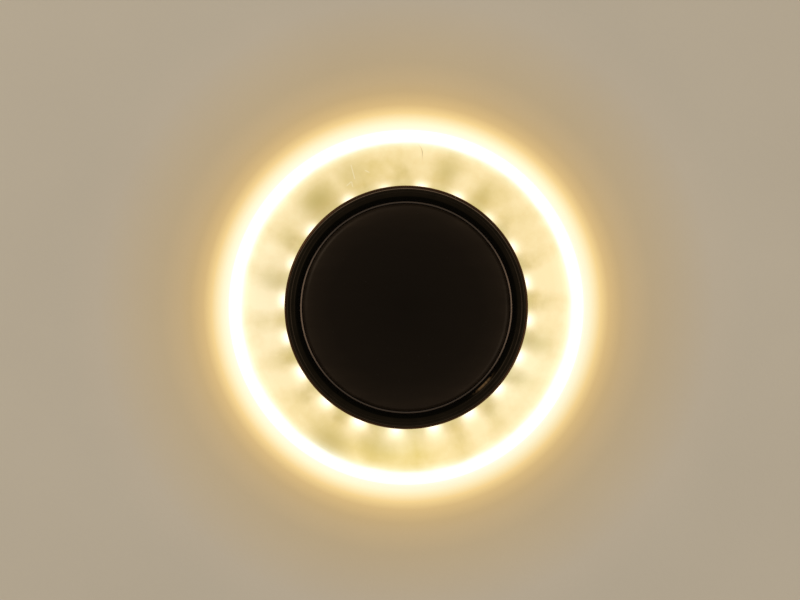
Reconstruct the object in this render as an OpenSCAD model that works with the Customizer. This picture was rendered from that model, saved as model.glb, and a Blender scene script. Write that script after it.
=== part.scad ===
// Recessed ceiling spotlight with a bayonet disc lamp and an edge-lit frosted ring.
// The underside of the ceiling is z = 0 and the lamp shines toward -Z.
// The origin is the centre of the plate that seats against the ceiling.

/* [Lamp] */
// Diameter of the disc lamp
lamp_d = 75; // [72:0.5:78]
// Height of the lamp's wide body, rim to shoulder
lamp_h = 12.6; // [11:0.2:15]
// Wall of the lamp's shell
lamp_wall = 1.2; // [0.9:0.1:1.6]
// Width of the thin rim that shows round the lens
lamp_rim_w = 0.6; // [0.4:0.1:0.8]
// Depth of the rebate that the lens stands in
lens_rebate = 1.6; // [1:0.2:2.4]
// Wall of the lens
lens_wall = 1.4; // [1:0.1:1.8]
// Height of the lens edge above the lamp's rim
lens_rise = 1.4; // [0.8:0.1:2]
// Radius of the lens's rounded edge
lens_edge_r = 2.4; // [1.8:0.1:3]
// Rise of the lens from its edge to its middle
lens_crown = 0.3; // [0.1:0.1:0.8]
// Diameter of the hub behind the lamp's shoulder
hub_d = 36; // [32:0.5:37]
// Height of the hub over the shoulder
hub_h = 10.5; // [8:0.5:11]
// Thickness of the lamp's aluminium circuit board
lamp_board_t = 1.6; // [1:0.2:2]
// Number of light chips in the board's outer circle
lamp_chip_count = 12; // [8:1:18]
// Radius of that circle
lamp_chip_r = 24; // [20:1:28]

/* [Bayonet] */
// Distance between the two lamp pins
pin_span = 53; // [50:0.5:55]
// Diameter of a pin's neck
pin_neck_d = 3; // [2.6:0.1:3.4]
// Diameter of a pin's head
pin_head_d = 5; // [4.4:0.1:5.6]
// Height of a pin's head
pin_head_h = 2.2; // [1.6:0.1:2.8]
// Turn from locked to the wide entry hole
turn_deg = 15; // [12:1:18]
// Room round the neck in its slot
slot_play = 0.4; // [0.2:0.05:0.6]
// Room round the head in the entry hole
entry_play = 0.6; // [0.4:0.1:0.9]
// Room between the head and the slot's plate
head_play = 0.3; // [0.2:0.05:0.5]

/* [Lampholder] */
// Outer diameter of the moulded lampholder
holder_d = 70; // [68:0.5:71]
// Height of the moulded body
holder_body_h = 10.5; // [9.5:0.5:13]
// Thickness of the cover behind it
holder_cover_t = 2; // [1.5:0.1:2.5]
// Diameter of the hole that the lamp's hub goes into
holder_hole_d = 40; // [38:0.5:41]
// Thickness of the plate with the two keyhole slots
keyhole_t = 3; // [2.5:0.1:3.5]
// Distance from the middle to each fixing screw
holder_screw_r = 29; // [28:0.5:30]
// Thickness of the sprung contact strip
contact_t = 0.6; // [0.4:0.1:0.8]
// Width of the contact strip
contact_w = 5; // [4:0.5:6]

/* [Light ring] */
// Outer diameter of the frosted ring
ring_d = 127; // [122:0.5:134]
// Thickness of the ring
ring_t = 8; // [7.4:0.2:10]
// Width of the bevel round the front face
bevel_w = 5.3; // [3:0.1:6.5]
// Depth of that bevel
bevel_h = 4.8; // [3:0.2:6]
// Number of light chips on the strip
led_count = 20; // [16:1:20]
// Angle between one chip and the next
led_pitch = 17.75; // [15:0.25:17.75]
// Angle of the gap where the strip's ends meet
joint_angle = 230.4; // [200:0.2:260]
// Length of a chip round the strip
chip_l = 3.5; // [2.8:0.1:4]
// Width of a chip
chip_w = 2.8; // [2:0.1:3.2]
// Height of a chip over the strip
chip_t = 0.8; // [0.6:0.1:1]
// Width of the strip
strip_w = 5; // [4:0.2:5.4]
// Thickness of the strip
strip_t = 0.3; // [0.2:0.05:0.4]
// Length of a chip resistor on the strip
resistor_l = 3.2; // [2:0.1:3.4]
// Air between the chips and the ring's bore
led_gap = 0.5; // [0.3:0.1:0.8]

/* [Bezel] */
// Air between the lamp and the bezel
lamp_gap = 1.4; // [1:0.1:2]
// Wall of the skirt that snaps into the tube
skirt_wall = 0.7; // [0.6:0.05:0.9]
// Room between the skirt and the tube
skirt_play = 0.1; // [0.05:0.01:0.15]
// Length of the skirt above the ring's front face
skirt_h = 6.4; // [5:0.2:7]
// Width of the lip that holds the ring
bezel_lip = 0.85; // [0.6:0.05:1.2]
// Height of the bezel in front of the ring
bezel_h = 3.6; // [3:0.1:4.4]
// Rounding of the bezel's outer edge
bezel_edge_r = 0.9; // [0.6:0.05:1.1]
// Rounding of the bezel's inner edge
bezel_inner_r = 1.1; // [0.8:0.05:1.3]
// Depth of the fine groove in its face
groove_depth = 0.25; // [0.15:0.05:0.4]
// Number of snap barbs on the skirt
barb_count = 4; // [3:1:6]

/* [Housing] */
// Wall of the pressed steel cup
cup_wall = 0.8; // [0.7:0.05:1]
// Diameter of the plate that seats on the ceiling
seat_d = 118; // [114:1:121]
// Thickness of that plate
seat_t = 1; // [0.8:0.1:1.4]
// Height of the collar that joins the plate to the cup
collar_h = 2.2; // [1.6:0.1:2.4]
// Outer rounding of the cup's back edge
cup_edge_r = 2; // [1.5:0.1:2.4]
// Number of vent slots in each group
vent_count = 5; // [3:1:7]
// Width of a vent slot
vent_w = 2; // [1.4:0.1:2.4]

/* [Clips] */
// Distance from the hinge to the end of the arm
arm_l = 45; // [38:1:52]
// Width of the arm over its two flanges
arm_w = 14; // [13.6:0.1:14.4]
// Sheet thickness of the arm and of the bracket
clip_t = 0.8; // [0.7:0.05:0.9]
// Diameter of the hinge pin
clip_pin_d = 2; // [1.6:0.1:2.2]
// Height of the hinge over the ceiling's underside
hinge_z = 12; // [11.4:0.1:12.6]
// Downward tilt of the arm at rest
rest_tilt = 5; // [4:0.5:6]
// Diameter of the spring wire
wire_d = 0.9; // [0.7:0.05:1]
// Mean radius of the spring's coil
coil_r = 2.3; // [2.1:0.05:2.4]
// Full turns in the coil
coil_turns = 5; // [3:1:5]
// Distance from one turn to the next
coil_pitch = 1.4; // [1.3:0.05:1.45]
// Width of the bracket's saddle on the drum
saddle_w = 16; // [15:0.5:17]
// Distance of the bracket's rivets from its middle
rivet_y = 4.5; // [4:0.1:5]
// Radius of a rivet's shank
rivet_r = 1; // [0.8:0.05:1.1]
// Length of the arm's two side flanges
flange_l = 20; // [16:1:24]
// Width of the arm's end inside the pad
tip_w = 10; // [8:0.5:11]
// Length of the spring's leg along the arm
arm_leg = 14; // [12:0.5:16]
// Length of the pad on the end of the arm
pad_l = 11; // [8:0.5:14]
// Thickness of the pad
pad_t = 3.2; // [2.8:0.1:3.8]

/* [Terminals and driver] */
// Number of terminals in the block
term_count = 3; // [2:1:3]
// Distance from one terminal to the next
term_pitch = 11.5; // [11.3:0.1:11.7]
// Length of a terminal's wire tunnel
term_l = 16; // [14:0.5:17]
// Radius of the wire tunnel
tunnel_r = 1.5; // [1.3:0.05:1.6]
// Height of the block
term_h = 13; // [12.4:0.1:15]
// Distance from the middle of the back to the block
term_y = 21.6; // [21.4:0.1:22]
// Height of the wire tunnel over the cup's back
tunnel_h = 5; // [4.6:0.1:5.6]
// Wall of the moulding round a terminal's sleeve
term_wall = 1.1; // [0.9:0.05:1.2]
// Distance from one side screw to the other along a terminal
term_screw_span = 9; // [8:0.5:9.5]
// Length of the ring's driver box
driver_l = 44; // [38:0.5:45]
// Width of the driver box
driver_w = 20; // [17:0.5:20]
// Height of the driver box without its lid
driver_h = 12; // [10:0.5:16]
// Wall of the driver box
driver_wall = 1.2; // [1:0.1:1.6]
// Shank radius of the screws that hold the block and the driver
plate_screw_r = 1; // [0.9:0.05:1.1]
// Head radius of those screws
plate_head_r = 1.9; // [1.7:0.05:2]
// Radius of the hole through the cable grommet
grommet_bore_r = 3.2; // [2.6:0.1:3.4]
// Wall of the grommet inside the plate's hole
grommet_wall = 1.6; // [1.2:0.1:1.8]

/* [Hidden] */
$fn = 96;
eps = 0.02;

// Radii from the lamp outward
lamp_r = lamp_d / 2;
skirt_ir = lamp_r + lamp_gap;
skirt_or = skirt_ir + skirt_wall;
tube_ir = skirt_or + skirt_play;
tube_or = tube_ir + cup_wall;
strip_ir = tube_or + 0.05;
strip_or = strip_ir + strip_t;
chip_or = strip_or + chip_t;
ring_ir = chip_or + led_gap;
ring_r = ring_d / 2;
flat_r = ring_r - bevel_w;
bezel_r = ring_ir + bezel_lip;
seat_r = seat_d / 2;
holder_r = holder_d / 2;
hole_r = holder_hole_d / 2;
drum_ir = holder_r + 0.3;
drum_or = drum_ir + cup_wall;
hub_r = hub_d / 2;
lens_r = lamp_r - lamp_rim_w - 0.1;

// Heights from the ceiling plane toward the room
ring_back = -seat_t;
ring_front = ring_back - ring_t;
bevel_z = ring_front + bevel_h;
bezel_front = ring_front - bezel_h;
skirt_top = ring_front + skirt_h;
tube_end = ring_front + 0.3;
lens_apex = bezel_front + 0.3;
lens_face = lens_apex + lens_crown;
rim_z = lens_face + lens_rise;
ledge_z = rim_z + lens_rebate;
shoulder_z = rim_z + lamp_h;
hub_top = shoulder_z + hub_h;

// Heights of the holder and of the cup behind it
holder_face = shoulder_z + 0.3;
keyhole_back = holder_face + keyhole_t;
cover_z = holder_face + holder_body_h;
holder_back = cover_z + holder_cover_t;
cup_top = holder_back + cup_wall;
step_z = holder_face + 0.3;
step_top = step_z + cup_wall;

// Bayonet
pin_r = pin_span / 2;
neck_r = pin_neck_d / 2;
head_r = pin_head_d / 2;
neck_top = keyhole_back + head_play;
head_top = neck_top + pin_head_h;
slot_hw = neck_r + slot_play;
slot_end = asin(slot_hw / pin_r);
entry_r = head_r + entry_play;
chamber_hw = head_r + 3.4;
contact_z = head_top + 0.3;

// Screws: the shank and the head of each kind, and the room round a shank
m3_r = 1.5;
m3_head_r = 2.8;
m3_head_h = 2.2;
m3_nut_r = 3.1;
m3_nut_h = 2.4;
m25_r = 1.25;
screw_room = 0.2;
sunk_z = holder_face + 4;

// Clip: everything is measured from the hinge
saddle_r = drum_or + clip_t;
hinge_x = saddle_r + coil_r + wire_d / 2 + 0.75;
clip_pin_r = clip_pin_d / 2;
pin_play = 0.05;
coil_out = coil_r + wire_d / 2;
web_top = -coil_out - 0.05;
web_low = web_top - clip_t;
arm_in = arm_w / 2 - clip_t;
ear_out = arm_in - 0.3;
ear_in = ear_out - clip_t;
ear_r = 2.8;
arm_ear_r = 2.6;
saddle_low = step_top + 0.8;
saddle_high = cup_top - 0.2;
stop_reach = 3.6;
stop_z = hinge_z + web_low * cos(rest_tilt) - stop_reach * sin(rest_tilt) - 0.3;
rivet_z = (saddle_low + stop_z - clip_t) / 2;
rivet_a = asin(rivet_y / drum_or);
pin_head_y = arm_w / 2 + 0.3;
pad_w = arm_w - 1.6;

// Coil: it ends with the leg on the arm and starts with the leg on the saddle
coil_a0 = 195;
coil_a1 = -90 - rest_tilt + 360 * coil_turns;
coil_w = coil_pitch * (coil_a1 - coil_a0) / 360;
wall_leg = 4;
tube_sides = 6;
tube_rings = 8;

// Back of the cup
term_z = cup_top + tunnel_h;
sleeve_r = tunnel_r + 0.9;
term_w = term_pitch * term_count;
driver_y = 19;
lug_x = driver_l / 2 + 3.5;
lug_y = driver_y - 6;
lug_t = 2;
grommet_y = -1.5;
grommet_r = grommet_bore_r + grommet_wall;
earth_x = -12.5;
post_r = 3;
post_h = 3;
plate_xy = concat(
    [for (i = [0:term_count - 2]) [(i - (term_count - 2) / 2) * term_pitch, -term_y]],
    [[-lug_x, lug_y], [lug_x, lug_y]]
);
plate_post = concat([for (i = [0:term_count - 2]) post_h], [lug_t, lug_t]);

// Points along an arc, in n steps
function arc(cx, cy, r, a0, a1, n = 8) = [
    for (i = [0:n]) [cx + r * cos(a0 + (a1 - a0) * i / n), cy + r * sin(a0 + (a1 - a0) * i / n)]
];

// Angle of chip number k on the strip
function chip_angle(k) =
    joint_angle + (360 - led_pitch * (led_count - 1)) / 2 + led_pitch * k;

// A flat ring between two radii and two heights
module ring(r0, r1, z0, z1) {
    translate([0, 0, z0]) difference() {
        cylinder(r = r1, h = z1 - z0);
        translate([0, 0, -1]) cylinder(r = r0, h = z1 - z0 + 2);
    }
}

// A part of a ring, from angle a0 to angle a1
module ring_arc(r0, r1, z0, z1, a0, a1) {
    rotate([0, 0, a0]) rotate_extrude(angle = a1 - a0)
        translate([r0, z0]) square([r1 - r0, z1 - z0]);
}

// A round bar from z0 to z1
module bar(r, z0, z1) {
    translate([0, 0, z0]) cylinder(r = r, h = z1 - z0, $fn = 48);
}

// A rounded rectangle in the plane, with its middle at the origin
module rounded(w, h, r) {
    x = w / 2 - r;
    y = h / 2 - r;
    polygon(concat(
        arc(x, y, r, 0, 90), arc(-x, y, r, 90, 180), arc(-x, -y, r, 180, 270), arc(x, -y, r, 270, 360)
    ));
}

// A pan head that faces +Z, with a cross slot
module pan_head(r, h) {
    difference() {
        rotate_extrude() polygon(concat(
            [[0, 0], [r, 0]], arc(r - h * 0.6, h * 0.4, h * 0.6, 0, 90, 5), [[0, h]]
        ));
        for (a = [0, 90]) rotate([0, 0, a])
            translate([-r * 0.55, -0.3, h * 0.5]) cube([r * 1.1, 0.6, h]);
    }
}

// Housing

module cup_profile() {
    polygon(concat(
        [[tube_ir, tube_end], [tube_or, tube_end]],
        arc(tube_or - 1, step_top - 1, 1, 0, 90, 5),
        arc(drum_or + 0.6, step_top + 0.6, 0.6, 270, 180, 4),
        arc(drum_or - cup_edge_r, cup_top - cup_edge_r, cup_edge_r, 0, 90, 6),
        [[0, cup_top], [0, holder_back]],
        arc(drum_ir - cup_edge_r + cup_wall, cup_top - cup_edge_r, cup_edge_r - cup_wall, 90, 0, 6),
        [[drum_ir, step_z], [tube_ir, step_z]]
    ));
}

module housing_cup() color([0.66, 0.67, 0.69]) difference() {
    rotate_extrude() cup_profile();
    // Windows that the bezel's barbs snap into
    for (i = [0:barb_count - 1])
        ring_arc(tube_ir - 0.5, tube_or + 0.5, skirt_top - 2.6, skirt_top - 0.4,
            barb_angle(i) - 5, barb_angle(i) + 5);
    // Vents through the drum, in two groups
    for (s = [0, 180], i = [0:vent_count - 1])
        rotate([0, 0, 90 + s + (i - (vent_count - 1) / 2) * 9]) {
            translate([drum_ir - 1, -vent_w / 2, step_top + 2.2]) cube([cup_wall + 2, vent_w, 5.4]);
            for (z = [step_top + 2.2, step_top + 7.6])
                translate([drum_ir - 1, 0, z]) rotate([0, 90, 0])
                    cylinder(r = vent_w / 2, h = cup_wall + 2, $fn = 24);
        }
    // Holes in the back plate
    translate([0, grommet_y, 0]) bar(grommet_r, holder_back - 1, cup_top + 1);
    translate([earth_x, grommet_y, 0]) bar(2, holder_back - 1, cup_top + 1);
    for (x = [-1, 1]) translate([x * holder_screw_r, 0, 0])
        bar(m3_r + screw_room, holder_back - 1, cup_top + 1);
    for (p = plate_xy) translate([p[0], p[1], 0]) bar(plate_screw_r, holder_back - 1, cup_top + 1);
    // Rivet holes in the side of the drum
    rivet_places() bar(rivet_r, -2, 2);
}

module seat_plate() color([0.7, 0.71, 0.73]) difference() {
    rotate_extrude() polygon(concat(
        [[tube_or + 0.02, -seat_t], [seat_r - 0.3, -seat_t], [seat_r, -seat_t + 0.3], [seat_r, 0]],
        arc(tube_or + 0.02 + cup_wall + 0.6, 0.6, 0.6, 270, 180, 4),
        [[tube_or + 0.02 + cup_wall, collar_h], [tube_or + 0.02, collar_h]]
    ));
    // Slot that the strip's leads go up through
    rotate([0, 0, joint_angle]) {
        translate([ring_ir + 0.2, -2.5, -seat_t - 1]) cube([1.6, 5, seat_t + 2]);
        for (y = [-2.5, 2.5]) translate([ring_ir + 1, y, 0]) bar(0.8, -seat_t - 1, 1);
    }
}

// Light ring and its strip

module light_ring() color([0.97, 0.92, 0.74]) rotate_extrude() polygon(concat(
    [[ring_ir, ring_back], [ring_r - 0.3, ring_back], [ring_r, ring_back - 0.3]],
    arc(ring_r - 0.8, bevel_z + 0.33, 0.8, 0, -45, 4),
    arc(flat_r - 0.33, ring_front + 0.8, 0.8, -45, -90, 4),
    [[ring_ir + 0.2, ring_front], [ring_ir, ring_front + 0.2]]
));

strip_z = ring_back - 1 - strip_w;

module led_strip() color([0.93, 0.93, 0.9])
    ring_arc(strip_ir, strip_or, strip_z, strip_z + strip_w, joint_angle + 1.5, joint_angle + 358.5);

module led_chips() color([0.98, 0.9, 0.5]) for (k = [0:led_count - 1])
    rotate([0, 0, chip_angle(k)]) translate([strip_or, 0, strip_z + strip_w / 2]) difference() {
        translate([0, -chip_l / 2, -chip_w / 2]) cube([chip_t, chip_l, chip_w]);
        translate([chip_t - 0.12, 0, 0]) rotate([0, 90, 0]) cylinder(r = chip_w * 0.4, h = 1, $fn = 24);
    }

module strip_resistors() color([0.12, 0.12, 0.13]) for (k = [2:3:led_count - 2])
    rotate([0, 0, chip_angle(k + 0.5)])
        translate([strip_or, -resistor_l / 2, strip_z + strip_w / 2 - resistor_l / 4])
            cube([resistor_l / 6, resistor_l, resistor_l / 2]);

// Bezel

function barb_angle(i) = 45 + i * 360 / barb_count;

module bezel_ring() color([0.09, 0.07, 0.05]) {
    groove_r = bezel_r - bezel_edge_r - groove_depth;
    difference() {
        rotate_extrude() polygon(concat(
            [[skirt_ir, skirt_top], [skirt_or, skirt_top], [skirt_or, ring_front], [bezel_r, ring_front]],
            arc(bezel_r - bezel_edge_r, bezel_front + bezel_edge_r, bezel_edge_r, 0, -90, 8),
            [
                [groove_r + groove_depth, bezel_front],
                [groove_r, bezel_front + groove_depth],
                [groove_r - groove_depth, bezel_front]
            ],
            arc(skirt_ir + bezel_inner_r, bezel_front + bezel_inner_r, bezel_inner_r, -90, -180, 8)
        ));
        // Slits that let each barb spring inward
        for (i = [0:barb_count - 1], s = [-1, 1]) rotate([0, 0, barb_angle(i) + s * 6])
            translate([skirt_ir - 1, -0.4, ring_front + 1.2]) cube([skirt_wall + 2, 0.8, skirt_h]);
    }
    for (i = [0:barb_count - 1]) rotate([0, 0, barb_angle(i) - 4]) rotate_extrude(angle = 8)
        polygon([
            [skirt_or - 0.1, skirt_top - 0.6],
            [skirt_or + 0.15, skirt_top - 0.6],
            [skirt_or + 0.55, skirt_top - 2.1],
            [skirt_or - 0.1, skirt_top - 2.1]
        ]);
}

// Lampholder

module keyhole(a) {
    z0 = holder_face - 1;
    z1 = keyhole_back + 0.5;
    ring_arc(pin_r - slot_hw, pin_r + slot_hw, z0, z1, a - turn_deg, a + slot_end);
    rotate([0, 0, a - turn_deg]) translate([pin_r, 0, 0]) bar(entry_r, z0, z1);
}

module lampholder_body() color([0.9, 0.9, 0.87]) difference() {
    rotate_extrude() polygon([
        [hole_r, holder_face + 0.6], [hole_r + 0.6, holder_face], [holder_r - 0.6, holder_face],
        [holder_r, holder_face + 0.6], [holder_r, cover_z], [hole_r, cover_z]
    ]);
    for (a = [90, 270]) {
        keyhole(a);
        // Chamber for the pin's head and the contact
        ring_arc(pin_r - chamber_hw, pin_r + chamber_hw, keyhole_back, cover_z + 1, a - 25, a + 20);
        // Moulding pockets between the ribs
        for (s = [-72, 35]) ring_arc(hole_r + 2, holder_r - 2, keyhole_back, cover_z + 1, a + s, a + s + 37);
    }
    for (x = [-1, 1]) translate([x * holder_screw_r, 0, 0]) {
        bar(m3_r + screw_room, holder_face - 1, cover_z + 1);
        bar(m3_head_r + 0.4, holder_face - 1, sunk_z);
    }
}

module lampholder_cover() color([0.86, 0.86, 0.83]) difference() {
    rotate_extrude() polygon([
        [hole_r, cover_z], [holder_r, cover_z], [holder_r, holder_back - 1.5],
        [holder_r - 1.5, holder_back], [hole_r, holder_back]
    ]);
    for (x = [-1, 1]) translate([x * holder_screw_r, 0, 0])
        bar(m3_r + screw_room, cover_z - 1, holder_back + 1);
    for (p = plate_xy) translate([p[0], p[1], 0]) bar(plate_screw_r + 0.3, cover_z - 1, holder_back + 1);
    // Holes for the leads of the two contacts
    for (a = [67, 247]) rotate([0, 0, a]) translate([pin_r, 0, 0]) bar(1.4, cover_z - 1, holder_back + 1);
}

// The contact strip of the pin at +Y: fixed at its thick end, it bows down over the pin's head
module contact() {
    top = cover_z - contact_t;
    translate([0, pin_r + contact_w / 2, 0]) rotate([90, 0, 0]) linear_extrude(height = contact_w)
        polygon([
            [-8.4, top], [-5, top], [-1.4, contact_z], [1.4, contact_z], [5.4, contact_z + 2],
            [5.4, contact_z + 2 + contact_t], [1.2, contact_z + contact_t],
            [-1.2, contact_z + contact_t], [-4.8, cover_z], [-8.4, cover_z]
        ]);
}

module contact_rear() color([0.78, 0.6, 0.3]) contact();

module contact_front() color([0.78, 0.6, 0.3]) rotate([0, 0, 180]) contact();

module lampholder_screws() color([0.75, 0.76, 0.78]) for (x = [-1, 1])
    translate([x * holder_screw_r, 0, 0]) {
        translate([0, 0, sunk_z]) mirror([0, 0, 1]) pan_head(m3_head_r, m3_head_h);
        bar(m3_r, sunk_z - eps, cup_top + m3_nut_h + 0.8);
    }

module lampholder_nuts() color([0.72, 0.73, 0.75]) for (x = [-1, 1])
    translate([x * holder_screw_r, 0, 0]) difference() {
        translate([0, 0, cup_top]) cylinder(r = m3_nut_r, h = m3_nut_h, $fn = 6);
        bar(m3_r, cup_top - 1, cup_top + m3_nut_h + 1);
    }

// Clips

module rivet_places() {
    for (s = [0, 180], a = [-rivet_a, rivet_a]) rotate([0, 0, s + a])
        translate([drum_or, 0, rivet_z]) rotate([0, 90, 0]) children();
}

module bracket_right() color([0.8, 0.8, 0.82]) difference() {
    union() {
        intersection() {
            ring(drum_or + eps, saddle_r, saddle_low, saddle_high);
            translate([0, -saddle_w / 2, 0]) cube([saddle_r + 1, saddle_w, cup_top + 1]);
        }
        for (y = [-ear_out, ear_in]) translate([0, y, 0]) {
            translate([drum_or + 0.3, 0, stop_z - clip_t])
                cube([hinge_x - drum_or - 0.3, clip_t, hinge_z + ear_r - stop_z + clip_t]);
            translate([hinge_x, 0, hinge_z]) rotate([-90, 0, 0]) cylinder(r = ear_r, h = clip_t);
        }
        // Stop under the arm's inner end, bent out between the ears
        translate([drum_or + 0.3, -ear_in - 0.1, stop_z - clip_t])
            cube([hinge_x + stop_reach - drum_or - 0.3, 2 * ear_in + 0.2, clip_t]);
    }
    translate([hinge_x, 0, hinge_z]) rotate([90, 0, 0]) cylinder(r = clip_pin_r, h = 20, center = true);
    rivet_places() bar(rivet_r, -3, 3);
}

module bracket_left() mirror([1, 0, 0]) bracket_right();

module bracket_rivets() color([0.85, 0.85, 0.86]) rivet_places() {
    bar(rivet_r, -cup_wall - 0.2, clip_t + eps);
    translate([0, 0, clip_t + eps]) rotate_extrude()
        polygon(concat([[0, 0]], arc(0, 0, rivet_r * 1.35, 0, 90, 5)) * [[1, 0], [0, 0.55]]);
}

module clip_pin() {
    translate([hinge_x, 0, hinge_z]) rotate([90, 0, 0]) {
        cylinder(r = clip_pin_r, h = 2 * pin_head_y, center = true);
        for (s = [0, 1]) mirror([0, 0, s]) translate([0, 0, pin_head_y])
            cylinder(r1 = clip_pin_r + 0.6, r2 = clip_pin_r + 0.3, h = 0.8);
    }
}

module clip_pin_right() color([0.7, 0.7, 0.72]) clip_pin();

module clip_pin_left() color([0.7, 0.7, 0.72]) mirror([1, 0, 0]) clip_pin();

// Moves a clip piece, drawn from the hinge outward, to its place at rest
module at_hinge() {
    translate([hinge_x, 0, hinge_z]) rotate([0, rest_tilt, 0]) children();
}

module clip_arm_right() color([0.78, 0.79, 0.81]) at_hinge() difference() {
    union() {
        // Web, narrower and rounded toward the end
        translate([0, 0, web_low]) linear_extrude(height = clip_t) polygon(concat(
            [[2.5, -arm_w / 2], [flange_l, -arm_w / 2]],
            arc(arm_l - 2, -tip_w / 2 + 2, 2, -90, 0, 5),
            arc(arm_l - 2, tip_w / 2 - 2, 2, 0, 90, 5),
            [[flange_l, arm_w / 2], [2.5, arm_w / 2]]
        ));
        // Flanges, with the ears that turn on the pin
        for (y = [-arm_w / 2, arm_in]) translate([0, y + clip_t, 0]) rotate([90, 0, 0])
            linear_extrude(height = clip_t) {
                circle(r = arm_ear_r);
                polygon([
                    [0.3, web_low + 0.4], [2.5, web_low], [flange_l, web_low],
                    [flange_l, web_top + 0.2], [9, 0.3], [0.6, arm_ear_r - 0.1]
                ]);
            }
        // Stiffening bead down the middle
        translate([13, 0, web_top - 0.05]) rotate([90, 0, 90]) linear_extrude(height = arm_l - pad_l - 15)
            difference() {
                circle(r = 1.2, $fn = 32);
                translate([-2, -4]) square([4, 4]);
            }
        // Hook that keeps the spring's leg in place
        translate([9.5, -arm_in - 0.1, web_top + 1.45]) cube([3, 3.1, 0.7]);
        translate([9.5, -arm_in - 0.1, web_top - 0.1]) cube([3, 0.8, 2]);
    }
    rotate([90, 0, 0]) cylinder(r = clip_pin_r + pin_play, h = 30, center = true);
}

module clip_arm_left() mirror([1, 0, 0]) clip_arm_right();

module clip_pad_right() color([0.16, 0.16, 0.17]) at_hinge() difference() {
    translate([arm_l - pad_l, 0, web_top - clip_t / 2]) rotate([90, 0, 90])
        linear_extrude(height = pad_l + 0.8) rounded(pad_w, pad_t, 1.2);
    // Pocket that the arm's end fits
    translate([0, 0, web_low]) linear_extrude(height = clip_t) polygon(concat(
        [[2.5, -arm_w / 2], [flange_l, -arm_w / 2]],
        arc(arm_l - 2, -tip_w / 2 + 2, 2, -90, 0, 5),
        arc(arm_l - 2, tip_w / 2 - 2, 2, 0, 90, 5),
        [[flange_l, arm_w / 2], [2.5, arm_w / 2]]
    ));
}

module clip_pad_left() mirror([1, 0, 0]) clip_pad_right();

// Torsion spring: one tube along its leg on the saddle, its coil and its leg on the arm

coil_steps = ceil((coil_a1 - coil_a0) / 360 * tube_rings);

function coil_point(t) =
    let (a = coil_a0 + (coil_a1 - coil_a0) * t)
    [coil_r * cos(a), coil_w * (0.5 - t), coil_r * sin(a)];

function coil_dir(a) = [-sin(a), 0, cos(a)];

coil_path = concat(
    [coil_point(0) - wall_leg * coil_dir(coil_a0)],
    [for (i = [0:coil_steps]) coil_point(i / coil_steps)],
    [for (s = [0.5, 1]) coil_point(1) + arm_leg * s * coil_dir(coil_a1)]
);

function unit(v) = v / norm(v);

// Direction of the tube at point i of a path
function heading(p, i) = unit(p[min(i + 1, len(p) - 1)] - p[max(i - 1, 0)]);

// One closed tube round a path that winds about the Y axis
module tube(p, r) {
    n = len(p);
    rings = [for (i = [0:n - 1])
        let (u = unit(cross(heading(p, i), [0, 1, 0])), v = cross(heading(p, i), u))
        for (k = [0:tube_sides - 1]) p[i] + r * (u * cos(k * 60) + v * sin(k * 60))];
    polyhedron(
        points = rings,
        faces = concat(
            [for (k = [1:tube_sides - 2]) [0, k, k + 1]],
            [for (k = [1:tube_sides - 2])
                [(n - 1) * tube_sides, (n - 1) * tube_sides + k + 1, (n - 1) * tube_sides + k]],
            [for (i = [0:n - 2], k = [0:tube_sides - 1], h = [0, 1])
                let (
                    a = i * tube_sides + k,
                    b = i * tube_sides + (k + 1) % tube_sides,
                    c = a + tube_sides,
                    d = b + tube_sides
                )
                h == 0 ? [a, c, b] : [b, c, d]]
        )
    );
}

// Least distance between two turns of the coil, measured on its points, less the wire
function coil_gap() = min([
    for (i = [0:coil_steps - tube_rings + 2], j = [i + tube_rings - 2:coil_steps])
        norm(coil_point(i / coil_steps) - coil_point(j / coil_steps))
]) - wire_d;

module torsion_spring() {
    echo(coil_gap_mm = coil_gap());
    translate([hinge_x, 0, hinge_z]) tube(coil_path, wire_d / 2);
}

module torsion_spring_right() color([0.6, 0.61, 0.64]) torsion_spring();

module torsion_spring_left() color([0.6, 0.61, 0.64]) mirror([1, 0, 0]) torsion_spring();

// Terminal block

module term_places() {
    for (i = [0:term_count - 1])
        translate([(i - (term_count - 1) / 2) * term_pitch, -term_y, 0]) children();
}

module along_y(r, l) {
    translate([0, 0, term_z]) rotate([90, 0, 0]) cylinder(r = r, h = l, center = true, $fn = 48);
}

tower_y = term_screw_span / 2;
term_screw_r = 1.8;
tower_r = term_screw_r + 1.5;

module terminal_block() color([0.95, 0.94, 0.9]) difference() {
    union() {
        translate([-term_w / 2, -term_y - term_l / 2, cup_top]) cube([term_w, term_l, 1.6]);
        term_places() {
            along_y(sleeve_r + term_wall, term_l);
            translate([-sleeve_r - term_wall, -term_l / 2, cup_top])
                cube([2 * (sleeve_r + term_wall), term_l, tunnel_h]);
            for (y = [-tower_y, tower_y]) translate([0, y, 0]) bar(tower_r, term_z, cup_top + term_h);
        }
        for (i = [0:term_count - 2]) translate([plate_xy[i][0], plate_xy[i][1], 0])
            bar(plate_screw_r + 0.9, cup_top, cup_top + post_h);
    }
    term_places() {
        along_y(sleeve_r, term_l + 2);
        for (y = [-tower_y, tower_y]) translate([0, y, 0])
            bar(term_screw_r + 0.2, term_z, cup_top + term_h + 1);
    }
    for (i = [0:term_count - 2]) translate([plate_xy[i][0], plate_xy[i][1], 0])
        bar(plate_screw_r + 0.1, cup_top - 1, cup_top + post_h + 1);
}

module terminal_sleeves() color([0.8, 0.64, 0.3]) term_places() difference() {
    along_y(sleeve_r, term_l - 1);
    along_y(tunnel_r, term_l + 2);
    for (y = [-tower_y, tower_y]) translate([0, y, 0]) bar(m25_r, term_z, term_z + sleeve_r + 1);
}

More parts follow.
